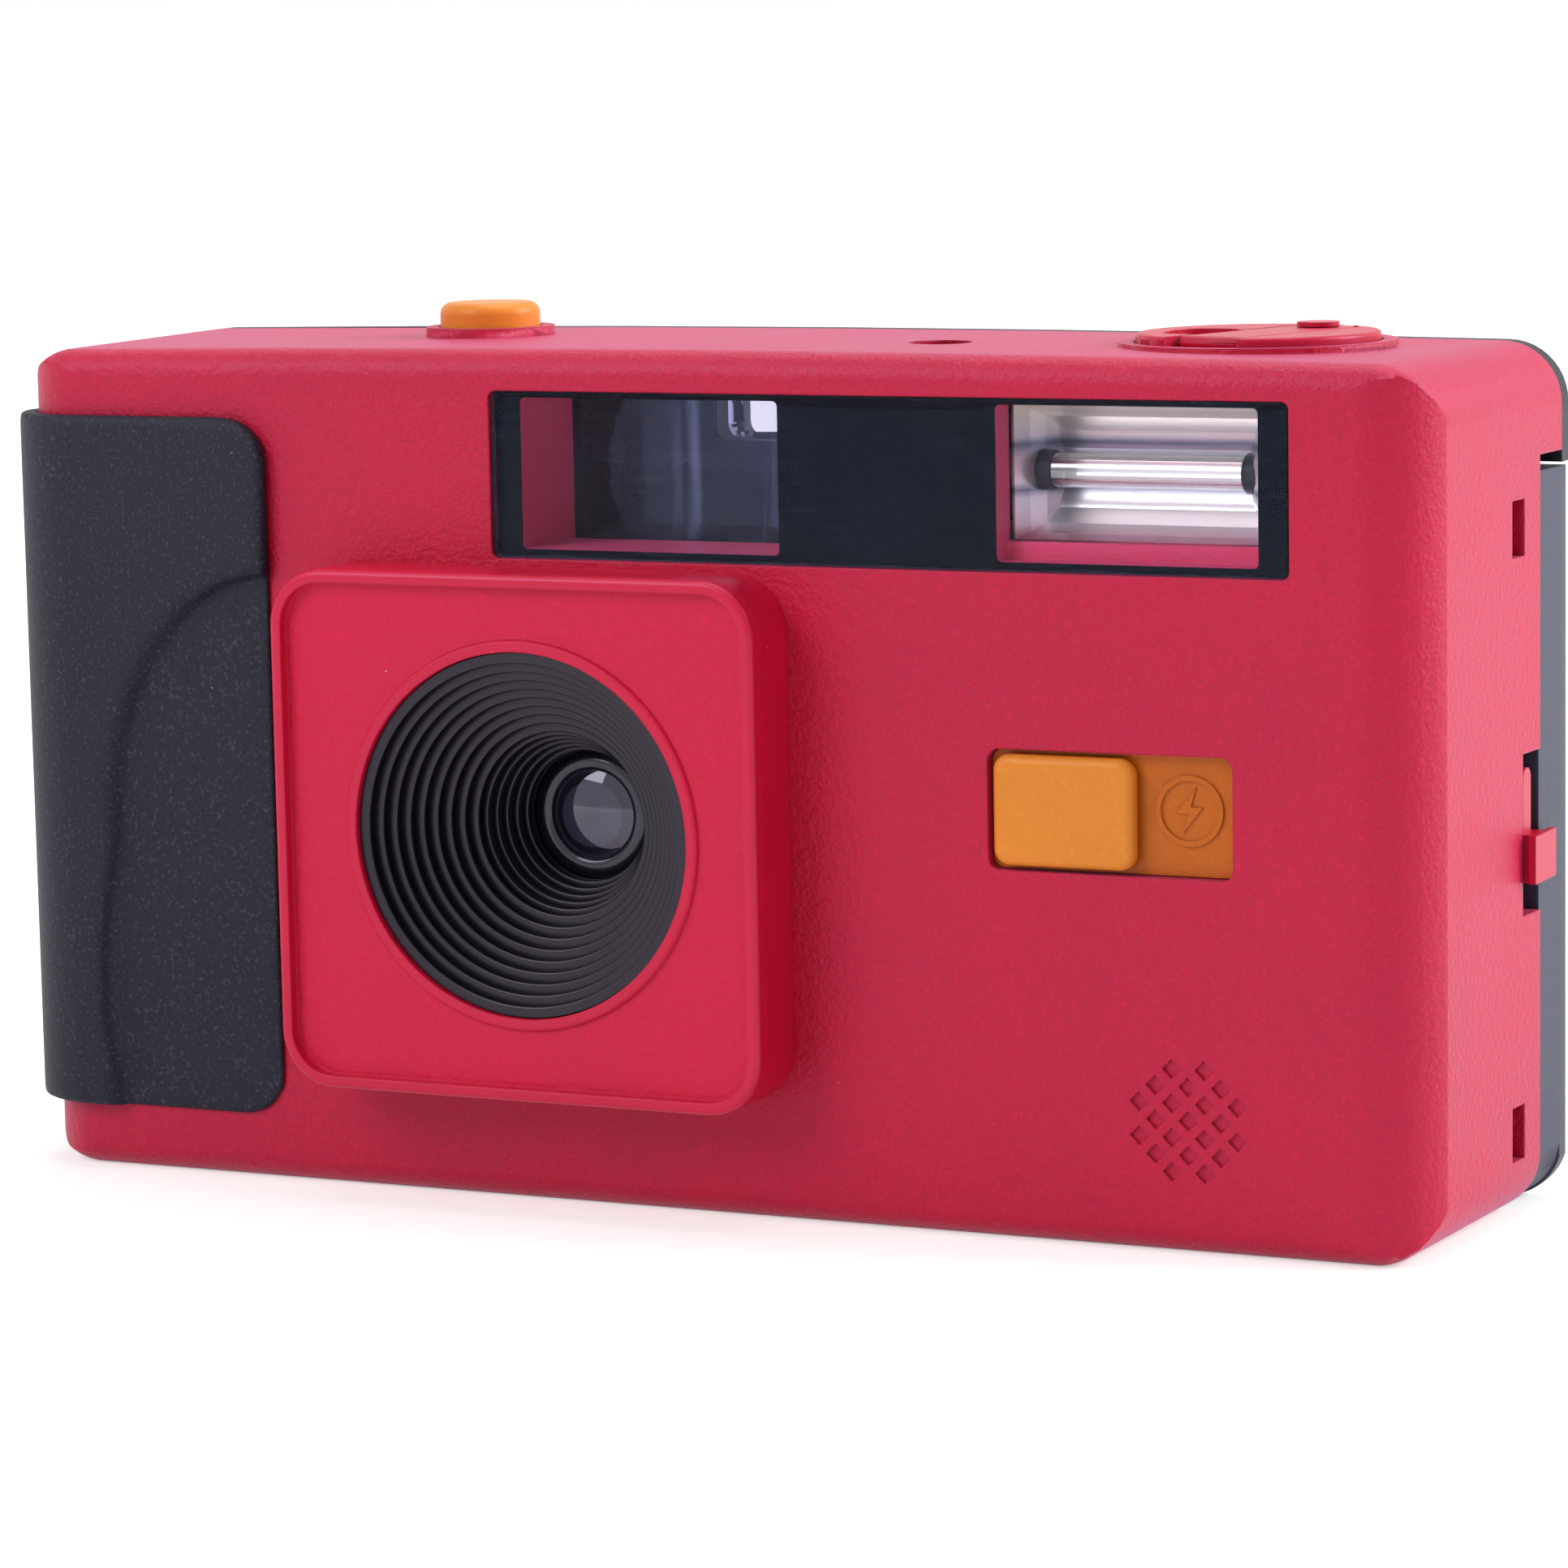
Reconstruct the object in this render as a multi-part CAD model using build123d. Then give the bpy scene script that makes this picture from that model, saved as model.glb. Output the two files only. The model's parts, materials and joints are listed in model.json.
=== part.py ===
from build123d import *
from math import atan2, cos, degrees, radians, sin, sqrt, tan
import os

# Millimetres. X runs to the viewer's right, the front face is Y = 0 and the foot is Z = 0
# while the pieces are made. Every piece is then moved together, so that the origin lies
# under the middle of the whole camera.

# Casing
body_half_width = 58.1
body_height = 63.3
body_crown = 0.5
shell_depth = 26.8
side_draft = 3.0
corner_radius = 4.5
edge_radius = 2.0
front_corner_width = 5.4
front_corner_depth = 4.0
front_corner_radius = (front_corner_width**2 + front_corner_depth**2) / (2 * front_corner_depth)
shell_wall = 1.8
door_wall = 1.5
part_gap = 0.3
flank_lap = 4.5
flank_width = 4.5
flank_drop = 7.8
door_drop = 9.0
flank_depth = shell_depth - flank_lap
flank_inside = body_half_width - flank_width
flank_top = body_height - flank_drop
door_front = shell_depth + 0.1
door_back = door_front + door_wall
door_top = body_height - door_drop

# Film gate and lens
lens_x = -11.1
gate_width = 36.0
gate_height = 24.0
film_setback = 1.6
film_plane = shell_depth - film_setback
bezel_width = 39.7
bezel_height = 39.0
bezel_left_reach = 20.25
bezel_foot_reach = 19.7
bezel_corner = 4.3
bezel_proud = 6.05
bezel_rim = 0.95
bezel_recess = 0.9
bezel_wall = 1.6
bezel_gap = 0.55
screw_offset = 15.5
boss_radius = 1.7
mouth_radius = 13.6
throat_radius = 4.95
throat_depth = 7.2
cone_ridges = 12
lens_radius = 4.4
lens_sag = 1.1
barrel_radius = 8.0
barrel_length = 2.2
aperture_front = throat_depth + barrel_length
aperture_thickness = 0.7
aperture_back = aperture_front + aperture_thickness
blade_front = aperture_back + part_gap
blade_thickness = 0.3
box_front = blade_front + blade_thickness + part_gap
box_wall = 0.9
rear_lens_radius = 3.5

# Windows, and the height of the optical axis under them
panel_left = -15.65
panel_end_gap = 11.3
panel_height = 12.4
panel_drop = 2.55
panel_right = body_half_width - panel_end_gap
panel_high = body_height - panel_drop
panel_low = panel_high - panel_height
lens_z = panel_low - bezel_gap - (bezel_height - bezel_foot_reach)
panel_thickness = 0.8
mask_thickness = 0.15
panel_inset = 0.15
window_foot = 0.65
window_head = 0.55
window_low = panel_low + window_foot
window_high = panel_high - window_head
finder_border = 2.1
finder_width = 20.95
finder_left = panel_left + finder_border
finder_right = finder_left + finder_width
finder_depth = 9.5
flash_border = 2.6
flash_width = 19.8
flash_right = panel_right - flash_border
flash_left = flash_right - flash_width
flash_depth = 3.6
pocket_wall = 0.8

# Flash
reflector_wall = 0.4
flash_tube_radius = 1.25
switch_end_gap = 15.6
switch_length = 18.6
switch_right = body_half_width - switch_end_gap
switch_left = switch_right - switch_length
switch_low = 27.0
switch_high = 35.75
switch_inset = 0.9
bed_flange = 0.5
knob_width = 10.8
knob_proud = 0.6
switch_travel = 7.0

# Cassette chamber and take-up chamber
cassette_radius = 12.6
chamber_wall = 0.9
latch_room = 6.0
cassette_setback = 8.8
chamber_floor = 2.1
chamber_drop = 1.9
rewind_x = body_half_width - latch_room - chamber_wall - cassette_radius
nearest_rewind_y = shell_wall + bed_flange + part_gap + chamber_wall + cassette_radius
rewind_y = max(film_plane - cassette_setback, nearest_rewind_y)
cassette_ceiling = door_top - chamber_drop
spool_end_room = 2.7
spool_setback = 11.0
spool_chamber_radius = 9.4
spool_chamber_wall = 0.8
spool_core_radius = 5.0
spool_floor = 8.0
spool_drop = 4.3
spool_x = -(body_half_width - spool_end_room - spool_chamber_wall - spool_chamber_radius)
spool_y = film_plane - spool_setback
spool_ceiling = door_top - spool_drop

# Thumbwheel and its gears
gear_module = 0.6
gear_teeth = 16
gear_distance = gear_module * gear_teeth + 0.01
wheel_radius = 9.9
wheel_proud = 1.45
wheel_thickness = 3.5
wheel_drop = 7.4
wheel_y = door_back + wheel_proud - wheel_radius
wheel_x = spool_x + sqrt(gear_distance**2 - (wheel_y - spool_y) ** 2)
wheel_low = body_height - wheel_drop
gear_low = wheel_low - 2.1

# Film sprocket and frame counter
sprocket_radius = 6.05
sprocket_teeth = 8
sprocket_room = sprocket_radius + 1.05
perforation_rows = 28.2
sprocket_x = rewind_x - cassette_radius - chamber_wall - sprocket_room
sprocket_y = film_plane - sprocket_radius
deck_drop = 4.4
deck_thickness = 1.0
deck_low = body_height - deck_drop
deck_high = deck_low + deck_thickness
counter_radius = 6.4
counter_teeth = 40
counter_bearing = 210.4
counter_low = deck_high + 0.6
counter_high = counter_low + 0.7
finger_reach = 0.95
finger_gap = 0.07
counter_distance = counter_radius + finger_reach + finger_gap
counter_x = sprocket_x + counter_distance * cos(radians(counter_bearing))
counter_y = sprocket_y + counter_distance * sin(radians(counter_bearing))
counter_hole_radius = 2.33
counter_hole_x = counter_x + 3.6
counter_hole_y = counter_y - 2.6

# Shutter button, and the dial of the rewind crank
button_offset = 13.1
button_x = wheel_x + button_offset
button_y = 17.2
button_radius = 3.85
collar_radius = 4.95
collar_height = 0.7
button_proud = 1.85
dial_radius = 8.85
dial_ring_radius = 10.1
dial_ring_height = 0.35
dial_proud = 0.7

# Battery, one size AAA cell
cell_offset = 5.4
cell_x = max(sprocket_x - cell_offset, lens_x + screw_offset + 5.3)
cell_bore = 5.5
sleeve_wall = 0.5
cell_y = shell_wall + 0.05 + sleeve_wall + cell_bore
sleeve_radius = cell_bore + sleeve_wall
sleeve_top = window_low - pocket_wall - 0.2

# Flash electronics
left_screw_x = spool_x + 12.4
board_low = 2.4
board_thickness = 1.2
board_top = board_low + board_thickness
capacitor_radius = 4.5
capacitor_left = left_screw_x + 5.8
capacitor_right = cell_x - sleeve_radius - 4.6
capacitor_y = shell_wall + 1.4 + capacitor_radius
capacitor_z = board_top + 0.1 + capacitor_radius
board_left = capacitor_left - 2.0
board_right = cell_x - sleeve_radius - 0.6
transformer_width = 5.0
transformer_left = board_right - 9.0 - transformer_width

# Grip
grip_reach = 23.7
grip_right = grip_reach - body_half_width
grip_low = 5.0
grip_drop = 4.8
grip_high = body_height - grip_drop
grip_corner = 3.6
grip_thickness = 1.4
grip_back_gap = 7.8
grip_wrap = shell_depth - grip_back_gap
scoop_depth = 0.8

# Latch and hinge
latch_low = 22.4
latch_length = 11.8
latch_setback = 8.0
latch_high = latch_low + latch_length
latch_front = shell_depth - latch_setback
latch_travel = 2.2
hinge_inset = 1.7
hinge_x = hinge_inset - body_half_width
hinge_y = door_front
hinge_radius = 1.5
hinge_front = film_plane - 0.6
knuckle_length = 7.0
knuckle_low = 3.0
knuckle_high = door_top - 2.3
knuckle_gap = 0.3
pin_radius = 0.7
pin_clearance = 0.05
door_bulge = 2.1

left_reach = body_half_width - tan(radians(side_draft)) * (shell_depth - grip_wrap) + grip_thickness
right_reach = body_half_width + 0.6
middle_x = (right_reach - left_reach) / 2
middle_y = (door_back + door_bulge - bezel_proud) / 2

# Well outside the camera on each side, for cuts that run right through
far_x = body_half_width + 10
far_y = door_back + 10
far_z = body_height + 10


def save(name, shape):
    """Writes one piece, moved so that the origin lies under the middle of the camera."""
    placed = Pos(-middle_x, -middle_y, 0) * shape
    solids = placed.solids()
    whole = solids[0] if len(solids) == 1 else Compound(children=list(solids))
    whole.label = name
    export_step(whole, os.path.join("parts", name + ".step"))


def upright(y):
    """The plane at depth y, whose own axes are X and Z."""
    return Plane(origin=(0, y, 0), x_dir=(1, 0, 0), z_dir=(0, -1, 0))


def prism_y(sketch, y_low, y_high):
    """A sketch drawn in X and Z, carried from depth y_low to y_high."""
    return extrude(upright(y_low) * sketch, amount=y_high - y_low, dir=(0, 1, 0))


def prism_z(sketch, z_low, z_high):
    """A sketch drawn in X and Y, carried from height z_low to z_high."""
    return extrude(Plane.XY.offset(z_low) * sketch, amount=z_high - z_low)


def prism_x(points, x_low, x_high):
    """An outline of (y, z) points, carried from x_low to x_high."""
    outline = make_face(Polyline(*[(x_low, y, z) for y, z in points], close=True))
    return extrude(outline, amount=x_high - x_low, dir=(1, 0, 0))


def block(x_low, x_high, y_low, y_high, z_low, z_high):
    middle = ((x_low + x_high) / 2, (y_low + y_high) / 2, (z_low + z_high) / 2)
    return Pos(*middle) * Box(x_high - x_low, y_high - y_low, z_high - z_low)


def rounded(x_low, x_high, z_low, z_high, radius):
    """A rounded rectangle sketch between two corners."""
    shape = RectangleRounded(x_high - x_low, z_high - z_low, radius)
    return Pos((x_low + x_high) / 2, (z_low + z_high) / 2) * shape


def rod_x(y, z, radius, x_low, x_high):
    middle = ((x_low + x_high) / 2, y, z)
    return Pos(*middle) * Rot(0, 90, 0) * Cylinder(radius, x_high - x_low)


def rod_y(x, z, radius, y_low, y_high):
    middle = (x, (y_low + y_high) / 2, z)
    return Pos(*middle) * Rot(90, 0, 0) * Cylinder(radius, y_high - y_low)


def rod_z(x, y, radius, z_low, z_high):
    return Pos(x, y, (z_low + z_high) / 2) * Cylinder(radius, z_high - z_low)


def lathe_y(points, x, z):
    """A profile of (radius, y) points, turned about the line through x and z."""
    outline = make_face(Polyline(*points, close=True))
    return Pos(x, 0, z) * revolve(outline, Axis.Y, 360)


def half_width_at(y):
    """Half the casing's width at depth y: its ends are drafted."""
    return body_half_width - tan(radians(side_draft)) * (shell_depth - y)


def top_at(x):
    """The height of the crowned top at x."""
    return body_height + body_crown * (1 - (x / body_half_width) ** 2)


def outline(y, inset, foot=0.0):
    """The casing's outline at depth y, brought in by inset."""
    half = half_width_at(y) - inset
    low = foot
    high = body_height - inset
    edges = [
        Line((-half, low), (half, low)),
        Line((half, low), (half, high)),
        ThreePointArc((half, high), (0, high + body_crown), (-half, high)),
        Line((-half, high), (-half, low)),
    ]
    face = make_face(edges)
    return upright(y) * fillet(face.vertices(), corner_radius - inset)


def casing(inset, y_low, y_high, foot=0.0):
    """The casing's drafted form between two depths, brought in by inset."""
    return loft([outline(y_low, inset, foot), outline(y_high, inset, foot)], ruled=True)


def corner_form(inset):
    """The plan of the casing, with its wide rounded front corners and its flat foot."""
    half = half_width_at(front_corner_depth) - inset
    bend = front_corner_radius - inset
    lean = atan2(front_corner_width, front_corner_radius - front_corner_depth)
    centre_x = half - bend * sin(lean)
    end_y = inset + bend * (1 - cos(lean))
    arc_x = centre_x + bend * sin(lean / 2)
    arc_y = inset + bend * (1 - cos(lean / 2))
    back_y = end_y + 3 * (far_x - half)
    lines = [
        Line((-centre_x, inset), (centre_x, inset)),
        ThreePointArc((centre_x, inset), (arc_x, arc_y), (half, end_y)),
        Line((half, end_y), (far_x, back_y)),
        Line((far_x, back_y), (far_x, far_y + back_y)),
        Line((far_x, far_y + back_y), (-far_x, far_y + back_y)),
        Line((-far_x, far_y + back_y), (-far_x, back_y)),
        Line((-far_x, back_y), (-half, end_y)),
        ThreePointArc((-half, end_y), (-arc_x, arc_y), (-centre_x, inset)),
    ]
    return prism_z(make_face(lines), 0, far_z)


def ring_z(x, y, outer, inner, z_low, z_high):
    """A tube standing along Z."""
    return rod_z(x, y, outer, z_low, z_high) - rod_z(x, y, inner, z_low - 1, z_high + 1)


def ring_y(x, z, outer, inner, y_low, y_high):
    """A tube lying along Y."""
    return rod_y(x, z, outer, y_low, y_high) - rod_y(x, z, inner, y_low - 1, y_high + 1)


def frame_y(x_low, x_high, z_low, z_high, wall, y_low, y_high):
    """A rectangular tube along Y, whose wall lies outside the given opening."""
    outer = block(x_low - wall, x_high + wall, y_low, y_high, z_low - wall, z_high + wall)
    return outer - block(x_low, x_high, y_low - 1, y_high + 1, z_low, z_high)


def spur_gear(x, y, teeth, z_low, z_high, phase):
    """A small spur gear with straight-sided teeth."""
    pitch = gear_module * teeth / 2
    root = pitch - 1.2 * gear_module
    tip = pitch + 0.8 * gear_module
    step = 360 / teeth
    flank = ((root, -0.36), (pitch, -0.23), (tip, -0.12), (tip, 0.12), (pitch, 0.23), (root, 0.36))
    points = []
    for tooth in range(teeth):
        middle = phase + tooth * step
        for radius, offset in flank:
            angle = radians(middle + offset * step)
            points.append((x + radius * cos(angle), y + radius * sin(angle)))
    return prism_z(make_face(Polyline(*points, close=True)), z_low, z_high)


def notched_disc(x, y, radius, depth, count, z_low, z_high):
    """A disc with V notches around its edge."""
    points = []
    for index in range(2 * count):
        reach = radius if index % 2 == 0 else radius - depth
        angle = radians(index * 180 / count)
        points.append((x + reach * cos(angle), y + reach * sin(angle)))
    return prism_z(make_face(Polyline(*points, close=True)), z_low, z_high)


# Levels that several pieces share
button_top = top_at(button_x) + collar_height + button_proud
flange_top = body_height - shell_wall + 0.1
dial_floor = body_height - 0.7
dial_top = top_at(rewind_x) + dial_proud + 0.3
disc_low = dial_floor + part_gap
lever_low = dial_top - 1.1
finder_middle = (finder_left + finder_right) / 2
bezel_left = lens_x - bezel_left_reach
bezel_low = lens_z - bezel_foot_reach
sprocket_wheels = [lens_z - perforation_rows / 2, lens_z + perforation_rows / 2]
right_screw_x = max(sprocket_x + 4.6, cell_x + sleeve_radius + boss_radius + part_gap)
case_screw_places = [
    (left_screw_x, 10.0),
    (left_screw_x, door_top - 7.3),
    (right_screw_x, sprocket_wheels[0] - 3.4),
    (right_screw_x, door_top - 4.8),
]
bezel_screw_places = []
for side in (-screw_offset, screw_offset):
    bezel_screw_places += [(lens_x + side, lens_z - screw_offset), (lens_x + side, lens_z + screw_offset)]
battery_hinge_y = cell_y + 6.9
battery_hinge_z = 0.9
battery_door_left = cell_x - 6.3
battery_door_right = cell_x + 6.3
switch_middle = (switch_low + switch_high) / 2
stem_left = switch_left + 1.4
stem_right = stem_left + 2.2
emblem_x = body_half_width - 19.13
emblem_z = 9.67
emblem_radius = 4.75
latch_tongue_high = latch_high - 1.1
latch_knob_low = latch_low + 2.4
latch_knob_high = latch_knob_low + 3.5
latch_stem_low = latch_knob_low + 1.6
eyepiece_low = body_height - 7.9
eyepiece_high = body_height - 3.4
eyepiece_half = 4.6
pivot_x = button_x + 3.8
pivot_z = lens_z + 6.0
knuckle_middle = (knuckle_low + knuckle_high - knuckle_length) / 2
knuckle_feet = (knuckle_low, knuckle_middle, knuckle_high - knuckle_length)
chassis_knuckles = [(low, low + knuckle_length) for low in knuckle_feet]
door_knuckles = []
for (_, below), (above, _) in zip(chassis_knuckles, chassis_knuckles[1:]):
    door_knuckles.append((below + knuckle_gap, above - knuckle_gap))


def casing_outside():
    """The whole outer form of the front shell. Its foot is cut flat at Z = 0."""
    raw = casing(0, 0, shell_depth, -0.05)
    rim = raw.faces().sort_by(Axis.Y)[0].edges()
    return fillet(rim, edge_radius) & corner_form(0)


def emblem_dimples():
    """Small square dimples in a diamond grid, inside a round field."""
    pitch = 1.75
    dimples = []
    for row in range(-2, 3):
        for column in range(-2, 3):
            x = (column - row) * pitch / sqrt(2)
            z = (column + row) * pitch / sqrt(2)
            if x**2 + z**2 < (emblem_radius - 0.6) ** 2:
                square = Pos(emblem_x + x, emblem_z + z) * Rot(0, 0, 45) * Rectangle(1.0, 1.0)
                dimples.append(prism_y(square, -0.5, 0.3))
    return dimples


def window_pockets():
    """The two wells behind the windows, with the ledge under the reflector."""
    finder = frame_y(finder_left, finder_right, window_low, window_high, pocket_wall, 1.2, finder_depth)
    flash = frame_y(flash_left, flash_right, window_low, window_high, pocket_wall, 1.2, flash_depth)
    flash += block(flash_left, flash_right, flash_depth - 0.7, flash_depth, window_low, window_low + 1.3)
    return finder, flash


def front_cuts():
    """Openings in the front and in the top of the shell."""
    high = far_z
    floor = flange_top - 4
    panel_back = panel_inset + panel_thickness + mask_thickness
    return [
        prism_y(rounded(panel_left, panel_right, panel_low, panel_high, 0.6), -1, panel_back),
        prism_y(rounded(finder_left, finder_right, window_low, window_high, 0.4), -1, 2.5),
        prism_y(rounded(flash_left, flash_right, window_low, window_high, 0.4), -1, 2.5),
        rod_y(lens_x, lens_z, mouth_radius - 1.0, -1, shell_wall + 1),
        prism_y(rounded(switch_left, switch_right, switch_low, switch_high, 0.9), -1, shell_wall + 1),
        rod_z(button_x, button_y, button_radius + 0.2, floor, high),
        rod_z(rewind_x, rewind_y, dial_radius + 0.2, dial_floor, high),
        rod_z(rewind_x, rewind_y, 3.6, floor, high),
        rod_z(counter_hole_x, counter_hole_y, counter_hole_radius, floor, high),
    ]


def rear_cuts():
    """Room for the door's flank, the hinge, the latch and the rear cover."""
    slot_front = shell_depth - 10.13
    slot_back = shell_depth - 7.67
    cuts = [
        block(flank_inside, far_x, flank_depth, far_y, -1, flank_top),
        block(-far_x, -flank_inside - 0.2, hinge_front, far_y, -1, flank_top),
        block(-far_x, far_x, shell_depth - 0.25, far_y, -1, flank_top),
        block(-far_x, far_x, shell_depth, far_y, flank_top - 1, far_z),
        block(flank_inside - 0.6, far_x, latch_front, flank_depth + 1, latch_low, latch_high),
    ]
    for z_low, z_high in ((4.65, 8.66), (door_top - 5.79, door_top - 1.69)):
        cuts.append(block(flank_inside - 0.6, far_x, slot_front, slot_back, z_low, z_high))
    return cuts


def foot_cuts():
    """The battery hatch with its hinge bore, and the rewind release."""
    left = battery_door_left
    right = battery_door_right
    back = battery_hinge_y + 1.15
    return [
        block(left + 0.9, right - 0.9, 3.0, back, -1, 2.5),
        block(left - 0.3, right + 0.3, battery_hinge_y - 1.1, back, -1, 2.5),
        block(left - 0.3, right + 0.3, 2.2, back, -1, 1.15),
        rod_x(battery_hinge_y, battery_hinge_z, 0.5, left - 1.1, right + 1.1),
        rod_z(sprocket_x, sprocket_y, 1.5, -1, 2.5),
    ]


def front_shell(outside):
    """The moulded front half of the casing, with the top and the foot."""
    shell = outside - (casing(shell_wall, shell_wall, shell_depth + 1, shell_wall) & corner_form(shell_wall))
    shell += rod_z(button_x, button_y, collar_radius, flange_top + 0.3, top_at(button_x) + collar_height)
    ring_top = top_at(rewind_x) + dial_ring_height
    shell += rod_z(rewind_x, rewind_y, dial_ring_radius, flange_top + 0.3, ring_top)
    for pocket in window_pockets():
        shell += pocket
    for x, z in case_screw_places:
        shell += rod_y(x, z, boss_radius, shell_wall - 0.2, flank_depth - 0.1)
    for cut in front_cuts() + rear_cuts() + foot_cuts() + emblem_dimples():
        shell -= cut
    for x, z in bezel_screw_places:
        shell -= rod_y(x, z, 1.0, -1, shell_wall + 1)
    for x, z in case_screw_places:
        shell -= rod_y(x, z, 0.95, flank_depth - 7.5, flank_depth + 1)
    return shell


def bezel_outline(inset):
    """The surround's rounded square, brought in by inset."""
    left = bezel_left + inset
    right = bezel_left + bezel_width - inset
    low = bezel_low + inset
    high = bezel_low + bezel_height - inset
    return rounded(left, right, low, high, bezel_corner - inset)


def lens_bezel():
    """Square surround with a raised rim, a sunk field and a soft lip round the mouth."""
    outer = prism_y(bezel_outline(0), -bezel_proud, 0)
    front = outer.faces().sort_by(Axis.Y)[0]
    outer = fillet(front.edges(), 0.45)
    face_y = -bezel_proud + bezel_recess
    outer -= prism_y(bezel_outline(bezel_rim), -bezel_proud - 1, face_y)
    lip = ring_y(lens_x, lens_z, mouth_radius + 0.9, mouth_radius - 0.2, face_y - 0.35, face_y + 0.2)
    lip_edge = [e for e in lip.edges() if e.center().Y < face_y - 0.2]
    outer += fillet(lip_edge, 0.3)
    outer -= prism_y(bezel_outline(bezel_wall), face_y + 1.45, 1)
    for x, z in bezel_screw_places:
        outer += rod_y(x, z, 1.9, face_y + 1.15, 0)
        outer -= rod_y(x, z, 0.92, face_y + 2.15, 1)
    return outer - rod_y(lens_x, lens_z, mouth_radius, -bezel_proud - 2, 1)


def baffle_cone():
    """Stepped light baffle, coarse at the mouth and fine at the throat."""
    mouth = mouth_radius - 0.5
    waist = throat_radius + 1.95
    waist_y = throat_depth - 5.2
    mouth_y = 1.05 - bezel_proud
    coarse = 8
    fine = cone_ridges - coarse
    steps = []
    for index in range(coarse):
        part = index / coarse
        steps.append((mouth - part * (mouth - waist), mouth_y + part * (waist_y - mouth_y)))
    for index in range(fine):
        part = index / fine
        steps.append((waist - part * (waist - throat_radius), waist_y + part * 4.4))
    steps.append((throat_radius, waist_y + 4.4))
    inside = []
    for (radius, y), (radius_next, y_next) in zip(steps, steps[1:]):
        inside.append((radius, y))
        inside.append((radius_next + 0.1, y + 0.12))
        inside.append((radius_next, y + 0.3))
    inside.append((throat_radius, throat_depth))
    flange_back = mouth_y + 2.1
    flange_front = mouth_y + 1.3
    outside = [
        (throat_radius + 1.25, throat_depth),
        (waist + 1.3, waist_y),
        (mouth_radius - 1.4, flange_back),
        (mouth_radius + 1.6, flange_back),
        (mouth_radius + 1.6, flange_front),
        (mouth_radius - 0.1, flange_front),
        (mouth_radius - 0.1, mouth_y),
    ]
    return lathe_y(inside + outside, lens_x, lens_z)


def glass(radius, apex, rim, back, sag):
    """A round lens with one convex face towards the front."""
    ball = (radius**2 + sag**2) / (2 * sag)
    slug = rod_y(lens_x, lens_z, radius, rim - sag - 1, back)
    return slug & (Pos(lens_x, apex + ball, lens_z) * Sphere(ball))


def front_lens():
    return glass(lens_radius, throat_depth - lens_sag, throat_depth, throat_depth + 1.0, lens_sag)


def lens_retainer():
    """Snap ring in front of the lens."""
    back = throat_depth - 0.2
    return ring_y(lens_x, lens_z, throat_radius - 0.1, throat_radius - 0.8, back - 0.5, back)


def lens_barrel():
    """Disc behind the baffle that carries the front lens."""
    barrel = rod_y(lens_x, lens_z, barrel_radius, throat_depth, aperture_front)
    barrel -= rod_y(lens_x, lens_z, lens_radius - 0.8, throat_depth - 1, aperture_front + 1)
    return barrel - rod_y(lens_x, lens_z, lens_radius + 0.02, throat_depth - 1, throat_depth + 1.0)


def aperture_plate():
    """Plate behind the lens, with the blade's pivot and its stop."""
    face = rounded(button_x - 1.6, lens_x + 9.1, lens_z - 8.2, lens_z + 10.5, 2.0)
    plate = prism_y(face, aperture_front, aperture_back)
    plate += rod_y(pivot_x, pivot_z, 0.6, aperture_back, box_front + 0.1)
    plate += rod_y(button_x + 0.2, lens_z + 0.7, 0.6, aperture_back, box_front - 0.1)
    return plate - rod_y(lens_x, lens_z, 1.2, aperture_front - 1, aperture_back + 1)


def shutter_blade():
    """Sector blade: its disc covers the aperture and its tail lies under the release bar."""
    low = blade_front
    high = blade_front + blade_thickness
    blade = rod_y(lens_x, lens_z, 2.6, low, high)
    arm = Polyline(
        (pivot_x - 0.6, pivot_z - 1.1),
        (pivot_x + 0.4, pivot_z + 1.2),
        (lens_x + 1.4, lens_z + 1.8),
        (lens_x - 0.4, lens_z - 1.4),
        close=True,
    )
    tail = Polyline(
        (pivot_x + 0.4, pivot_z - 1.2),
        (pivot_x - 0.4, pivot_z + 1.2),
        (button_x - 0.2, pivot_z - 1.1),
        (button_x + 0.1, pivot_z - 2.6),
        close=True,
    )
    blade += prism_y(make_face(arm), low, high)
    blade += prism_y(make_face(tail), low, high)
    blade += rod_y(pivot_x, pivot_z, 1.4, low, high)
    return blade - rod_y(pivot_x, pivot_z, 0.68, low - 1, high + 1)


def rear_lens():
    return rod_y(lens_x, lens_z, rear_lens_radius, box_front, box_front + 1.6)


def window_panel():
    gap = 0.08
    sheet = rounded(panel_left + gap, panel_right - gap, panel_low + gap, panel_high - gap, 0.52)
    return prism_y(sheet, panel_inset, panel_inset + panel_thickness)


def window_mask():
    gap = 0.08
    low = panel_inset + panel_thickness
    sheet = rounded(panel_left + gap, panel_right - gap, panel_low + gap, panel_high - gap, 0.52)
    mask = prism_y(sheet, low, low + mask_thickness)
    mask -= prism_y(rounded(finder_left, finder_right, window_low, window_high, 0.4), 0, 2)
    return mask - prism_y(rounded(flash_left, flash_right, window_low, window_high, 0.4), 0, 2)


def finder_rectangle(y, x_low, x_high, z_low, z_high):
    face = Rectangle(x_high - x_low, z_high - z_low)
    return upright(y) * (Pos((x_low + x_high) / 2, (z_low + z_high) / 2) * face)


def viewfinder_front_lens():
    """Hollow front lens at the back of the finder's well."""
    left = finder_left - pocket_wall
    right = finder_right + pocket_wall
    low = window_low - pocket_wall
    lens = block(left, right, finder_depth, finder_depth + 1.6, low, window_high + 0.1)
    dish = Pos(finder_middle, finder_depth - 29.0, (window_low + window_high) / 2) * Sphere(30.0)
    return lens - dish


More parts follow.
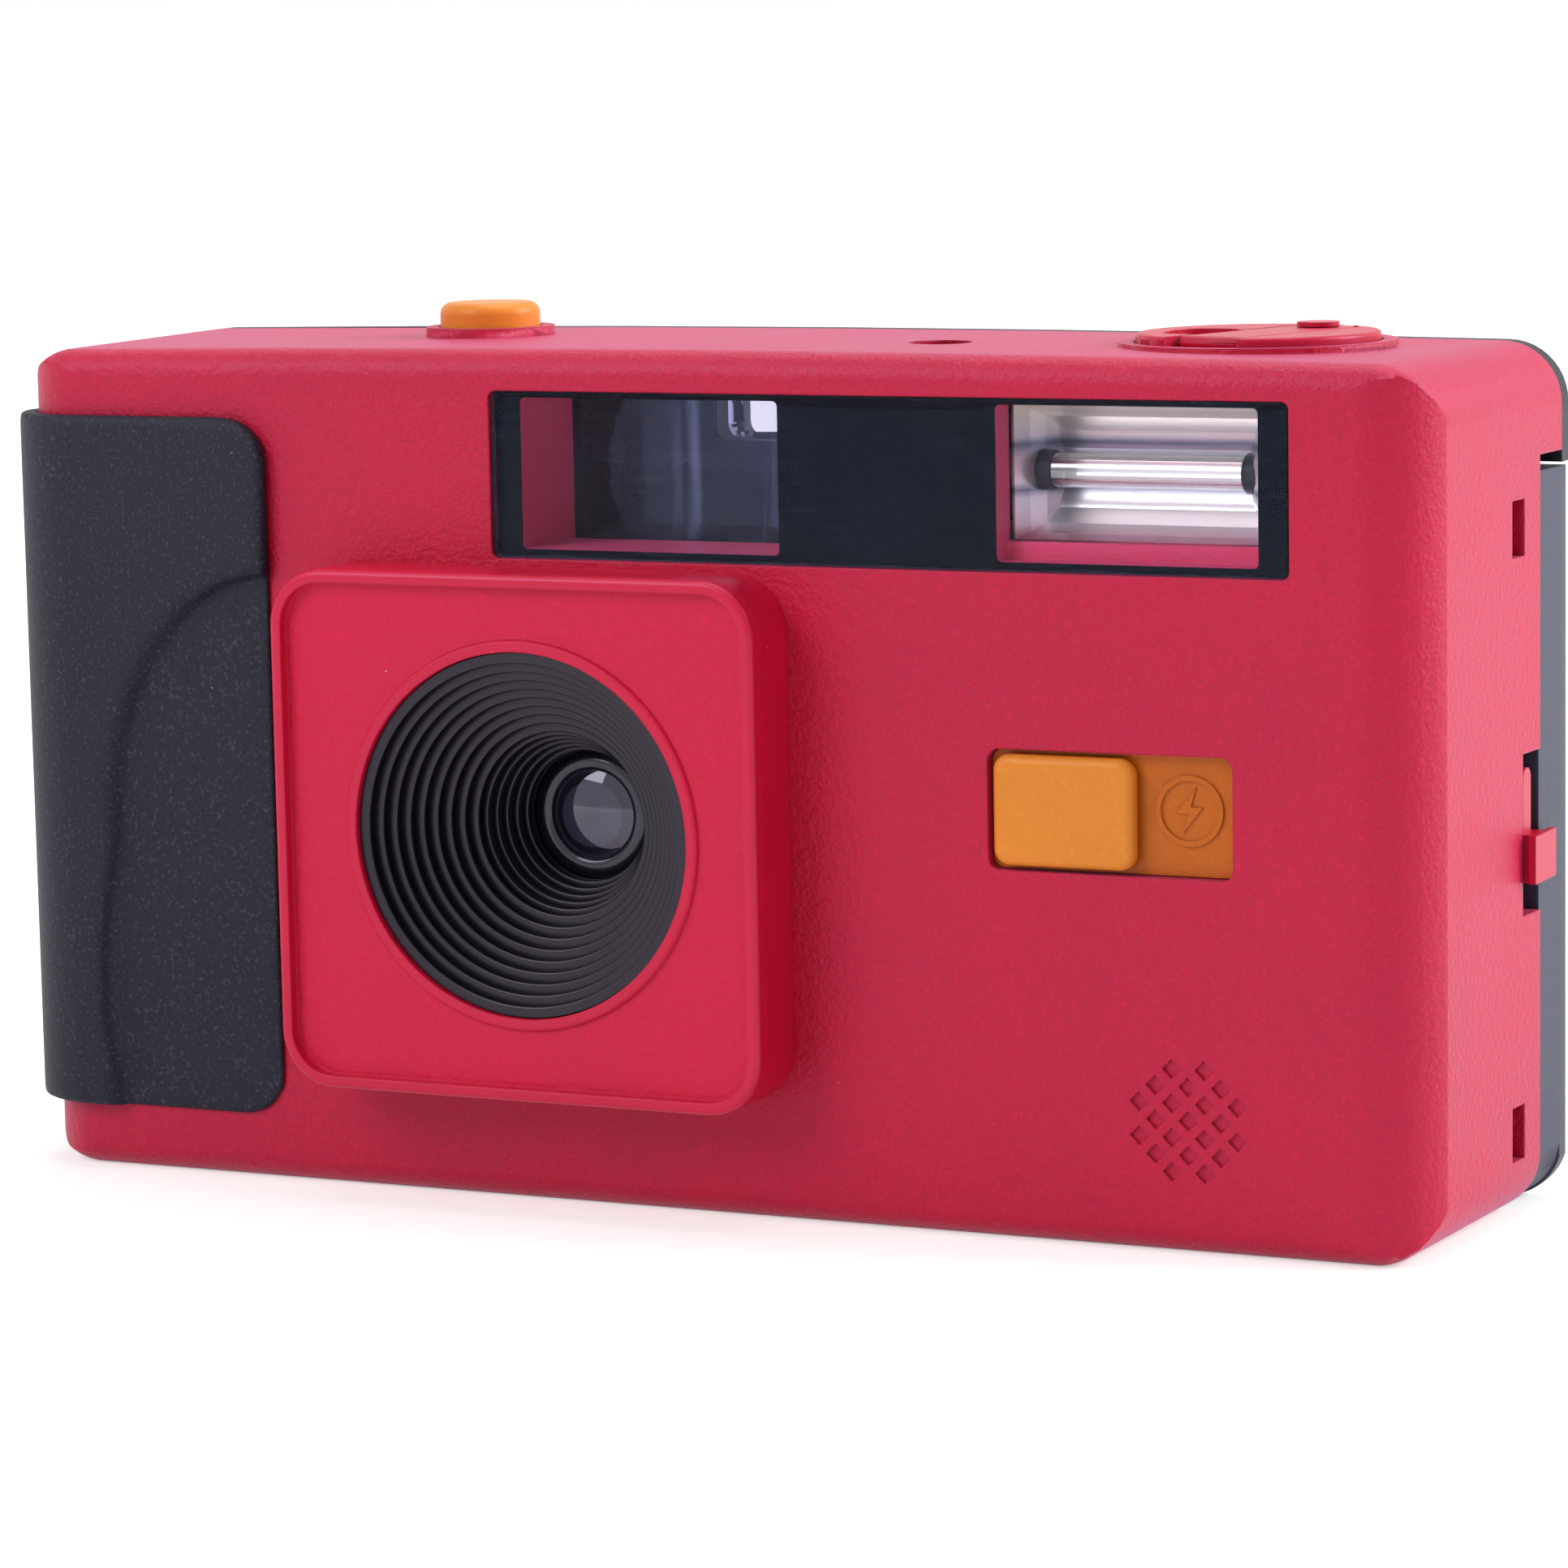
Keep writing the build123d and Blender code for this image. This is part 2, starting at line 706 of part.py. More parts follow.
def viewfinder_tunnel():
    start = finder_depth + 1.6
    end = flank_depth - 0.1
    front = (finder_left - 0.8, finder_right + 0.8, window_low - 0.8, window_high + 0.1)
    back = (finder_middle - 5.4, finder_middle + 5.4, eyepiece_low - 0.6, window_high + 0.1)
    outer = loft([finder_rectangle(start, *front), finder_rectangle(end, *back)], ruled=True)
    wall = 0.7
    inner_front = (front[0] + wall, front[1] - wall, front[2] + wall, front[3] - wall)
    inner_back = (back[0] + wall, back[1] - wall, back[2] + wall, back[3] - wall)
    inner = loft([finder_rectangle(start, *inner_front), finder_rectangle(end, *inner_back)], ruled=True)
    return outer - inner


def eyepiece_outline(gap):
    left = finder_middle - eyepiece_half - gap
    right = finder_middle + eyepiece_half + gap
    return rounded(left, right, eyepiece_low - gap, eyepiece_high + gap, 1.2)


def viewfinder_eyepiece():
    """Small domed lens in the rear cover."""
    lens = prism_y(eyepiece_outline(0), flank_depth + 2, door_back - 0.8)
    middle = (finder_middle, door_back - 0.8 - 14.0, (eyepiece_low + eyepiece_high) / 2)
    return lens & (Pos(*middle) * Sphere(14.0))


def flash_reflector():
    """Trough of flat facets behind the flash window, with slanted end walls."""
    left = flash_left + 0.4
    right = flash_right - 0.4
    low = window_low + 1.4
    high = window_high - 0.2
    middle = (low + high) / 2
    facets = ((0.0, 1.0), (1.3, 0.93), (2.6, 0.80), (3.6, 0.58), (4.2, 0.30))
    half = (high - low) / 2
    tilt = 0.28

    def trough(wall):
        sections = []
        for depth, part in facets:
            spread = half * part + wall
            slope = depth * tilt
            x_low = left + slope - wall
            x_high = right - slope + wall
            y = flash_depth + depth + (wall if depth > 4 else 0)
            sections.append(finder_rectangle(y, x_low, x_high, middle - spread, middle + spread))
        return loft(sections, ruled=True)

    solid = trough(reflector_wall)
    solid -= trough(0.0)
    for x in (left, right):
        solid -= rod_x(flash_depth + 2.4, middle, flash_tube_radius + 0.35, x - 2.5, x + 2.5)
    return solid


def flash_tube():
    middle = (window_low + 1.4 + window_high - 0.2) / 2
    return rod_x(flash_depth + 2.4, middle, flash_tube_radius, flash_left + 0.3, flash_right - 0.3)


def flash_tube_caps():
    middle = (window_low + 1.4 + window_high - 0.2) / 2
    caps = []
    for low, high in ((flash_left - 2.0, flash_left + 0.3), (flash_right - 0.3, flash_right + 2.0)):
        caps.append(rod_x(flash_depth + 2.4, middle, flash_tube_radius + 0.05, low, high))
    return Compound(children=caps)


def flash_board():
    """Circuit board on the foot, with small parts standing on it."""
    board = block(board_left, board_right, 3.2, flank_depth - 0.8, board_low, board_top)
    for x in (board_left + 2.5, board_right - 2.5):
        board -= rod_z(x, flank_depth - 3.3, 0.9, board_low - 1, board_top + 1)
    step = (transformer_left - board_left) / 6
    small_parts = ((board_left + 2 * step, 4.8, 1.4, 5.5), (board_left + 3.6 * step, 4.3, 1.1, 4.5))
    small_parts += ((board_right - 7.0, 4.8, 1.6, 6.0),)
    for x, setback, radius, height in small_parts:
        board += rod_z(x, flank_depth - setback, radius, board_top, board_top + height)
    left = board_left + 4.5 * step
    front = flank_depth - 6.8
    return board + block(left, left + 1.1 * step, front, front + 4.0, board_top, board_top + 1.4)


def flash_capacitor():
    body = rod_x(capacitor_y, capacitor_z, capacitor_radius, capacitor_left, capacitor_right)
    ends = [e for e in body.edges() if e.geom_type == GeomType.CIRCLE]
    return fillet(ends, 0.6)


def flash_transformer():
    """Two flanges with the winding between them."""
    left = transformer_left
    right = left + transformer_width
    front = capacitor_y + capacitor_radius + 0.6
    back = front + 7.0
    core = block(left, right, front, back, board_top, board_top + 1.4)
    core += block(left, right, front, back, board_top + 4.8, board_top + 6.2)
    return core + block(left + 0.7, right - 0.7, front + 1, back - 1, board_top + 1.4, board_top + 4.8)


def battery_sleeve():
    """Tube for the cell, cut back round the sprocket's two wheels."""
    sleeve = ring_z(cell_x, cell_y, sleeve_radius, cell_bore, 2.2, sleeve_top)
    for middle in sprocket_wheels:
        sleeve -= rod_z(sprocket_x, sprocket_y, sprocket_room, middle - 1.4, middle + 1.4)
    return sleeve - block(cell_x - 2, cell_x + 2, 0, cell_y, 18, sleeve_top - 8)


def battery_contact_top():
    cap = rod_z(cell_x, cell_y, cell_bore - 0.1, sleeve_top - 0.5, sleeve_top)
    return cap + rod_z(cell_x, cell_y, 1.6, sleeve_top - 1.3, sleeve_top - 0.5)


def battery_door():
    """Hatch in the foot that swings on two stub pins."""
    left = battery_door_left
    right = battery_door_right
    front = cell_y - 5.35
    plate = block(left, right, front, battery_hinge_y, 0.0, battery_hinge_z)
    plate += rod_x(battery_hinge_y, battery_hinge_z, 0.85, left, right)
    plate += rod_x(battery_hinge_y, battery_hinge_z, 0.45, left - 0.8, right + 0.8)
    plate += block(cell_x - 2.6, cell_x + 2.6, front + 0.9, front + 1.7, battery_hinge_z, 1.5)
    plate += rod_z(cell_x, cell_y, 4.2, battery_hinge_z, 1.6)
    for rib in range(3):
        start = front + 1.9 + rib * 1.2
        plate -= block(cell_x - 3.0, cell_x + 3.0, start, start + 0.6, -1, 0.3)
    return plate


def battery_door_contact():
    disc = rod_z(cell_x, cell_y, 3.4, 1.6, 1.9)
    return disc + rod_z(cell_x, cell_y, 1.6, 1.9, 2.5)


def switch_bed():
    """Sunk track of the switch, with a raised ring and a bolt at its end."""
    gap = 0.08
    track = rounded(switch_left + gap, switch_right - gap, switch_low + gap, switch_high - gap, 0.8)
    flange = rounded(switch_left - 1.2, switch_right + 1.2, switch_low - 1.2, switch_high + 1.2, 1.0)
    bed = prism_y(track, switch_inset, shell_wall)
    bed += prism_y(flange, shell_wall, shell_wall + bed_flange)
    sign_x = switch_right - 3.5
    sign_z = switch_middle + 0.4
    bed += ring_y(sign_x, sign_z, 2.55, 2.15, switch_inset - 0.2, switch_inset + 0.2)
    zigzag = ((0.5, 1.7), (-1.0, -0.2), (-0.1, -0.2), (-0.5, -1.6), (1.0, 0.3), (0.1, 0.3))
    bolt = Polyline(*[(sign_x + x, sign_z + z) for x, z in zigzag], close=True)
    bed += prism_y(make_face(bolt), switch_inset - 0.15, switch_inset + 0.2)
    slot_right = stem_right + switch_travel + 0.3
    return bed - block(stem_left - 0.3, slot_right, 0, 4, switch_middle - 0.9, switch_middle + 0.9)


def flash_switch_knob():
    """Sliding cap, whose stem passes through the track and clips behind it."""
    left = switch_left + 0.5
    size = rounded(left, left + knob_width, switch_low + 0.4, switch_high - 0.35, 1.2)
    knob = prism_y(size, -knob_proud, switch_inset - 0.45)
    front = knob.faces().sort_by(Axis.Y)[0]
    knob = fillet(front.edges(), 0.7)
    clip = shell_wall + bed_flange + 0.3
    middle = switch_middle
    knob += block(stem_left, stem_right, switch_inset - 0.5, clip, middle - 0.7, middle + 0.7)
    return knob + block(stem_left - 0.6, stem_right + 0.3, clip, clip + 0.4, middle - 1.6, middle + 1.6)


def shutter_button():
    button = rod_z(button_x, button_y, button_radius, flange_top - 0.8, button_top)
    crown = [e for e in button.edges() if e.center().Z > button_top - 0.1]
    button = fillet(crown, 0.9)
    return button + rod_z(button_x, button_y, 4.6, flange_top - 0.8, flange_top - 0.1)


def release_bar():
    """Bar under the button that reaches down to the blade's tail."""
    low = flange_top - 0.8
    left = button_x - 1
    right = button_x + 1
    front = blade_front + 2.2
    foot = pivot_z + 0.5
    bar = block(left, right, front, button_y + 1.5, low - 1.3, low)
    bar += block(left, right, front, front + 1.4, foot, low - 1.2)
    return bar + block(left, right, blade_front, front + 0.1, foot, foot + 1.4)


def button_leaf_spring():
    """Bent strip whose upper end bears on the button's flange."""
    left = button_x + 1.6
    low = flange_top - 0.8
    foot = flange_top - 12.0
    back = flank_depth - 0.1
    tip = button_y - 0.2
    strip = [(back - 0.6, foot), (back, foot), (back, low - 0.3)]
    strip += [(tip, low), (tip, low - 0.3), (back - 0.6, low - 0.7)]
    return prism_x(strip, left, left + 1.4)


def grip_scoop():
    """The finger scoop's outline: down its crease and round by the cover's right edge."""
    crease = [
        (grip_right - 0.2, grip_high - 12.2),
        (grip_right - 6.1, grip_high - 13.95),
        (grip_right - 9.4, grip_high - 18.2),
        (grip_right - 11.4, grip_high - 21.0),
        (grip_right - 12.3, grip_high - 23.5),
        (grip_right - 12.7, grip_high - 26.0),
        (grip_right - 13.4, grip_high - 29.6),
        (grip_right - 14.2, grip_low + 0.8),
    ]
    right = grip_right + 4.4
    low = grip_low - 2.0
    back = Polyline(crease[-1], (crease[-1][0], low), (right, low), (right, crease[0][1]), crease[0])
    return make_face([Spline(*crease), back])


def grip_sheet(front):
    """The cover's outline as a thick sheet, with its front rim rounded."""
    sheet = prism_y(rounded(-far_x, grip_right, grip_low, grip_high, grip_corner), front, grip_wrap)
    return fillet(sheet.faces().sort_by(Axis.Y)[0].edges(), 0.35)


def grip_cover(outside):
    """Soft cover that wraps the left end, with the finger scoop in its front."""
    thick = grip_thickness
    cover = (casing(-thick, -thick, grip_wrap) & corner_form(-thick)) - outside
    cover = cover & grip_sheet(-thick)
    return cover - (prism_y(grip_scoop(), -3, grip_wrap) - grip_sheet(scoop_depth - thick))


def gate_block(y_low, y_high):
    left = lens_x - gate_width / 2
    low = lens_z - gate_height / 2
    return block(left, left + gate_width, y_low, y_high, low, low + gate_height)


def chassis_plate():
    """The film plane's plate, open at the gate, the sprocket and the two chambers."""
    front = flank_depth - 1
    back = film_plane + 3
    end = body_half_width - 2.4
    plate = block(-end, end, flank_depth, film_plane, chamber_floor, door_top + 0.4)
    plate -= gate_block(front, back)
    plate -= block(sprocket_x - sprocket_room, sprocket_x + 6.6, front, back, lens_z - 17.0, lens_z + 17.5)
    left = rewind_x - cassette_radius + 0.2
    right = rewind_x + cassette_radius - 0.2
    plate -= block(left, right, front, back, chamber_floor + 0.7, cassette_ceiling - 0.8)
    plate -= rod_z(rewind_x, rewind_y, 4.7, cassette_ceiling + 1, far_z)
    spool = spool_chamber_radius - 0.2
    plate -= block(spool_x - spool, spool_x + spool, front, back, spool_floor + 0.8, spool_ceiling - 0.8)
    for x, z in case_screw_places:
        plate -= rod_y(x, z, 1.0, front, back)
        plate -= rod_y(x, z, 1.75, film_plane - 1.2, back)
    return plate


def dark_box():
    """Tapered light box from the film gate down to the wall that holds the rear lens."""
    near = 5.4

    def pyramid(extra):
        wide = gate_width / 2 + extra
        high = gate_height / 2 + extra
        half = near + extra
        far = finder_rectangle(film_plane, lens_x - wide, lens_x + wide, lens_z - high, lens_z + high)
        close = finder_rectangle(box_front, lens_x - half, lens_x + half, lens_z - half, lens_z + half)
        return loft([close, far], ruled=True)

    box = pyramid(box_wall) - pyramid(0)
    half = near + box_wall / 2
    wall = block(lens_x - half, lens_x + half, box_front, box_front + box_wall, lens_z - half, lens_z + half)
    return box + (wall - rod_y(lens_x, lens_z, rear_lens_radius + 0.05, box_front - 1, box_front + 2))


def film_chambers():
    """Cassette chamber at the right and take-up chamber at the left."""
    outer = cassette_radius + chamber_wall
    cassette = ring_z(rewind_x, rewind_y, outer, cassette_radius, chamber_floor, cassette_ceiling)
    cassette += rod_z(rewind_x, rewind_y, outer, cassette_ceiling, cassette_ceiling + 1)
    cassette += rod_z(rewind_x, rewind_y, outer, chamber_floor, chamber_floor + 0.8)
    cassette -= rod_z(rewind_x, rewind_y, 2.6, cassette_ceiling - 2, cassette_ceiling + 4)
    cassette -= rod_z(rewind_x, rewind_y, 3.6, chamber_floor - 1, chamber_floor + 2)
    left = rewind_x - outer - 5
    right = rewind_x + outer + 3
    cassette -= block(left, right, 0, flash_depth + 5.8, window_low - 1.4, cassette_ceiling + 4)
    cassette -= block(left, right, film_plane, far_y, 0, far_z)
    way_right = rewind_x - outer + 2.1
    cassette -= block(left, way_right, sprocket_y + 0.35, far_y, chamber_floor + 0.8, cassette_ceiling - 0.8)
    spool_outer = spool_chamber_radius + spool_chamber_wall
    spool = ring_z(spool_x, spool_y, spool_outer, spool_chamber_radius, spool_floor, spool_ceiling)
    spool += rod_z(spool_x, spool_y, spool_outer, spool_floor, spool_floor + 0.8)
    spool -= rod_z(spool_x, spool_y, 2.1, spool_floor - 1, spool_floor + 1)
    right = spool_x + spool_outer + 5
    spool -= block(spool_x, right, flank_depth - 1.8, far_y, spool_floor + 0.8, spool_ceiling - 0.8)
    return cassette, spool


def top_works():
    """Rear top cover, open at the eyepiece and round the thumbwheel."""
    region = block(-far_x, far_x, flank_depth - 2, far_y, door_top + 0.3, far_z)
    outer = extrude(outline(shell_depth, 0), amount=door_back - shell_depth, dir=(0, 1, 0))
    cover = outer & region
    cover += casing(shell_wall + 0.2, flank_depth, shell_depth, shell_wall) & region
    cover -= prism_y(eyepiece_outline(0.05), flank_depth - 2, far_y)
    cover -= rod_z(rewind_x, rewind_y, 4.7, door_top, far_z)
    cover -= rod_z(rewind_x, rewind_y, dial_radius + 0.2, dial_floor, far_z)
    reach = wheel_radius + 0.7
    slot_low = wheel_low - 0.3
    slot_high = wheel_low + wheel_thickness + 0.4
    return cover - block(wheel_x - reach, wheel_x + reach, flank_depth - 2, far_y, slot_low, slot_high)


def decks():
    """Deck with the counter's post, the sprocket's lower bearing and the wheel's deck."""
    plate = block(sprocket_x - 9.0, sprocket_x + 5.2, counter_y - 5.0, flank_depth, deck_low, deck_high)
    plate += rod_z(counter_x, counter_y, 0.9, deck_high, counter_high + 0.3)
    plate -= rod_z(sprocket_x, sprocket_y, 0.87, deck_low - 1, deck_high + 1)
    web = block(sprocket_x - 4.5, sprocket_x + 7.6, sprocket_y - 3.2, flank_depth, 4.2, 5.4)
    web -= rod_z(sprocket_x, sprocket_y, 1.88, 3, 7)
    low = gear_low - 2.8
    wheel_deck = block(wheel_x - 4.5, wheel_x + 9.6, wheel_y - 3.0, flank_depth, low, low + 1.2)
    wheel_deck += rod_z(wheel_x, wheel_y, 1.2, low + 1.2, wheel_low + 4.5)
    return plate, web, wheel_deck


def latch_block():
    """Guide of the latch, with the slot in which its stem slides."""
    left = flank_inside - 0.6
    guide = block(left, left + 2.6, latch_front - 0.8, flank_depth + 0.5, latch_low - 1.8, latch_high + 0.8)
    slot_low = latch_stem_low - latch_travel - 0.2
    slot_high = latch_knob_high + 2.5
    return guide - block(left - 3, left + 5, latch_front + 1.1, latch_front + 2.7, slot_low, slot_high)


def chassis():
    """The inner frame: film plane, dark box, chambers, decks and rear cover."""
    body = chassis_plate() + dark_box()
    for chamber in film_chambers():
        body += chamber
    spool = spool_chamber_radius - 0.2
    lintel = spool_ceiling - 0.1
    body += block(spool_x - spool, spool_x + spool - 1.2, flank_depth, film_plane, lintel, lintel + 1.2)
    wall = shell_wall + 0.15
    body = body & casing(wall, wall, shell_depth + 6, wall)
    body += top_works()
    for deck in decks():
        body += deck
    for x, z in case_screw_places:
        body -= rod_y(x, z, boss_radius + part_gap, wall, flank_depth)
    body -= gate_block(film_plane - 1.2, far_y)
    body += latch_block()
    for z_low, z_high in chassis_knuckles:
        body += block(hinge_x - 1.2, hinge_x + 1.5, hinge_front + 0.2, hinge_y, z_low, z_high)
        body += block(hinge_x + 0.8, hinge_x + 1.5, film_plane - 1.5, hinge_y, z_low, z_high)
        body += rod_z(hinge_x, hinge_y, hinge_radius, z_low, z_high)
    low = gear_low - 0.3
    body -= block(spool_x - 6.2, wheel_x + 6.0, flank_depth - 2.3, film_plane + 0.6, low, wheel_low - 0.2)
    return body - rod_z(hinge_x, hinge_y, pin_radius, 0, door_top)


def case_screws():
    screws = []
    for x, z in case_screw_places:
        screw = rod_y(x, z, 0.9, flank_depth - 6.5, film_plane - 1.2)
        screw += rod_y(x, z, 1.65, film_plane - 1.2, film_plane - 0.15)
        screws.append(screw - block(x - 1.0, x + 1.0, film_plane - 0.6, film_plane, z - 0.2, z + 0.2))
    return Compound(children=screws)


def bezel_screws():
    screws = []
    for x, z in bezel_screw_places:
        screw = rod_y(x, z, 0.88, -2.6, shell_wall)
        screws.append(screw + rod_y(x, z, 1.7, shell_wall, shell_wall + 1.0))
    return Compound(children=screws)


def thumbwheel():
    """Notched wheel with its gear under it."""
    wheel = notched_disc(wheel_x, wheel_y, wheel_radius, 0.45, 36, wheel_low, wheel_low + wheel_thickness)
    wheel += spur_gear(wheel_x, wheel_y, gear_teeth, gear_low, gear_low + 1.6, 0)
    wheel += rod_z(wheel_x, wheel_y, 3.0, gear_low + 1.4, wheel_low + 0.1)
    return wheel - rod_z(wheel_x, wheel_y, 1.27, gear_low - 4, far_z)


def take_up_spool():
    """Slotted spool with a lower flange, and the gear that meshes with the wheel's."""
    floor = spool_floor + 1.4
    core = rod_z(spool_x, spool_y, spool_core_radius, floor, spool_ceiling + 0.6)
    core += rod_z(spool_x, spool_y, 2.0, spool_floor - 0.4, floor)
    core += rod_z(spool_x, spool_y, 3.0, spool_ceiling + 0.6, gear_low + 0.1)
    core += rod_z(spool_x, spool_y, 7.6, floor, floor + 1.0)
    for turn in range(3):
        angle = radians(40 + 120 * turn)
        x = spool_x + spool_core_radius * cos(angle)
        y = spool_y + spool_core_radius * sin(angle)
        core -= rod_z(x, y, 0.7, floor + 6.6, spool_ceiling - 6)
    mesh = degrees(atan2(wheel_y - spool_y, wheel_x - spool_x))
    step = 360 / gear_teeth
    facing = (mesh + 180) / step
    phase = mesh - (0.5 - (facing - int(facing))) * step
    return core + spur_gear(spool_x, spool_y, gear_teeth, gear_low, gear_low + 1.5, phase)


def sprocket_shaft():
    """Shaft with two toothed wheels, and the finger that turns the counter."""
    shoulder = deck_low - 0.9
    shaft = rod_z(sprocket_x, sprocket_y, 1.8, 3.7, shoulder)
    shaft += rod_z(sprocket_x, sprocket_y, 0.8, shoulder, counter_high)
    finger = Polyline((0, -0.5), (finger_reach, -0.25), (finger_reach, 0.25), (0, 0.5), close=True)
    turned = Pos(sprocket_x, sprocket_y) * Rot(0, 0, 300) * make_face(finger)
    shaft += prism_z(turned, counter_low, counter_high)
    for middle in sprocket_wheels:
        shaft += rod_z(sprocket_x, sprocket_y, sprocket_radius, middle - 0.9, middle + 0.9)
        for tooth in range(sprocket_teeth):
            angle = 22.5 + tooth * 360 / sprocket_teeth
            tip = Rot(0, 0, angle) * Pos(sprocket_radius + 0.2, 0, 0) * Box(1.0, 1.0, 1.2)
            shaft += Pos(sprocket_x, sprocket_y, middle) * tip
    return shaft + rod_z(sprocket_x, sprocket_y, 3.4, *sprocket_wheels)


def frame_counter_dial():
    dial = notched_disc(counter_x, counter_y, counter_radius, 0.5, counter_teeth, counter_low, counter_high)
    return dial - rod_z(counter_x, counter_y, 0.96, deck_high, far_z)


def rewind_release_button():
    button = rod_z(sprocket_x, sprocket_y, 1.42, 0.2, 2.1)
    return button + rod_z(sprocket_x, sprocket_y, 2.2, 2.05, 2.6)


def rewind_bush():
    """Flanged tube in which the rewind shaft turns."""
    low = cassette_ceiling + 1.2
    bush = rod_z(rewind_x, rewind_y, 3.5, low, disc_low - 0.05)
    bush += rod_z(rewind_x, rewind_y, 4.4, low, low + 0.8)
    return bush - rod_z(rewind_x, rewind_y, 2.08, low - 4, far_z)


def rewind_fork():
    """Shaft whose blade turns the cassette's spool."""
    low = cassette_ceiling - 2.2
    fork = rod_z(rewind_x, rewind_y, 2.0, low, disc_low)
    return fork + block(rewind_x - 1.8, rewind_x + 1.8, rewind_y - 0.7, rewind_y + 0.7, low - 2.7, low + 0.1)


crank_hinge = (rewind_x - 0.9, rewind_y - 6.6)
crank_tip = (rewind_x + 2.8, rewind_y + 5.0)
crank_angle = degrees(atan2(crank_tip[1] - crank_hinge[1], crank_tip[0] - crank_hinge[0]))
crank_length = sqrt((crank_tip[0] - crank_hinge[0]) ** 2 + (crank_tip[1] - crank_hinge[1]) ** 2)
crank_pin_z = lever_low + 0.55
crank_width = 5.4


def on_crank(shape):
    """Moves a shape drawn along +X from the crank's hinge to where the crank lies."""
    return Pos(crank_hinge[0], crank_hinge[1], 0) * Rot(0, 0, crank_angle) * shape


def rewind_disc():
    disc = rod_z(rewind_x, rewind_y, dial_radius, disc_low, dial_top)
    rim = [e for e in disc.edges() if e.center().Z > dial_top - 0.1]
    disc = fillet(rim, 0.3)
    half = crank_width / 2 + 0.3
    channel = block(-6, crank_length, -half, half, lever_low - 0.25, dial_top + 1)
    channel += rod_z(crank_length, 0, half, lever_low - 0.25, dial_top + 1)
    disc -= on_crank(channel)
    disc -= on_crank(rod_z(crank_length, 0, 1.9, disc_low - 1, dial_top))
    well = RectangleRounded(5.0, 6.6, 2.3)
    disc -= prism_z(Pos(rewind_x - 3.9, rewind_y - 1.1) * well, dial_top - 1.0, dial_top + 1)
    disc -= on_crank(rod_y(0, crank_pin_z, 0.36, -half - 0.9, half + 0.9))
    return disc


def crank_hinge_pin():
    half = crank_width / 2 + 0.3
    return on_crank(rod_y(0, crank_pin_z, 0.35, -half - 0.9, half + 0.9))


def crank_lever():
    """Folding crank, rounded at its tip and pinned in the disc at its root."""
    half = crank_width / 2
    lever = block(0, crank_length, -half, half, lever_low, dial_top)
    lever += rod_z(crank_length, 0, half, lever_low, dial_top)
    top = [e for e in lever.edges() if e.center().Z > dial_top - 0.1]
    lever = fillet(top, 0.25)
    lever += rod_y(0, crank_pin_z, 0.55, -half, half)
    lever -= rod_y(0, crank_pin_z, 0.40, -half - 1, half + 1)
    return on_crank(lever - rod_z(crank_length, 0, 0.9, lever_low - 2, dial_top + 2))


def crank_knob():
    knob = rod_z(crank_length, 0, 0.84, lever_low - 0.1, dial_top + 0.1)
    knob += rod_z(crank_length, 0, 1.55, dial_top + 0.06, dial_top + 0.4)
    knob += rod_z(crank_length, 0, 1.5, lever_low - 0.5, lever_low - 0.06)
    return on_crank(knob)


def latch_slide():
    """Door latch: knob and tongue outside, stem through the guide and foot inside."""
    skin = body_half_width
    back = flank_depth - 0.2
    knob = block(skin - 1.4, skin + 0.15, latch_front + 0.3, back, latch_knob_low, latch_knob_high)
    knob += block(skin + 0.05, right_reach, latch_front - 0.2, back + 1.4, latch_knob_low, latch_knob_high)
    front = latch_front + 0.3
    tongue = block(skin - 1.4, skin - 0.5, front, front + 1.8, latch_knob_low, latch_tongue_high)
    top = [e for e in tongue.edges().filter_by(Axis.X) if e.center().Z > latch_tongue_high - 0.1]
    knob += fillet(top, 0.85)
    stem = latch_stem_low
    knob += block(skin - 5.7, skin - 1.3, latch_front + 1.3, latch_front + 2.5, stem, stem + 3.9)
    return knob + block(skin - 5.9, skin - 5.35, latch_front - 0.2, latch_front + 3.2, stem - 0.8, stem + 4.7)


def back_door():
    """Hinged back with its right flank, the cassette bulge and its hinge knuckles."""
    plate = extrude(outline(shell_depth, 0), amount=door_wall, dir=(0, 1, 0))
    plate = Pos(0, door_front - shell_depth, 0) * plate
    left = 3.5 - body_half_width
    door = plate & block(left, body_half_width - 0.2, flank_depth, far_y, 0.3, door_top)
    flange = casing(0.2, flank_depth + 0.2, door_front + 0.4, 0.2)
    flange -= casing(1.6, flank_depth - 1, door_front + 1, 1.6)
    door += flange & block(flank_inside + 0.3, far_x, flank_depth - 2, far_y, 0.3, door_top)
    outer = cassette_radius + 1.5
    bulge = rod_z(rewind_x, rewind_y, outer, 3.0, cassette_ceiling)
    door += bulge & block(rewind_x - 9, rewind_x + 9, door_front, far_y, 0, far_z)
    door -= rod_z(rewind_x, rewind_y, outer - 1.2, 4.2, cassette_ceiling - 1.2)
    door -= block(rewind_x - 3.0, rewind_x + 3.0, film_plane, far_y, 14.0, cassette_ceiling - 12.4)
    for z_low, z_high in door_knuckles:
        door += rod_z(hinge_x, hinge_y, hinge_radius, z_low, z_high)
        door += block(hinge_x, hinge_x + 2.0, hinge_y, door_back, z_low, z_high)
    return door - rod_z(hinge_x, hinge_y, pin_radius + pin_clearance, 0, door_top)


def film_check_window():
    """Curved clear strip in the door's bulge."""
    high = cassette_ceiling - 12.4
    ring = ring_z(rewind_x, rewind_y, cassette_radius + 1.5, cassette_radius + 0.3, 14.0, high)
    return ring & block(rewind_x - 3.0, rewind_x + 3.0, film_plane, far_y, 10, far_z)


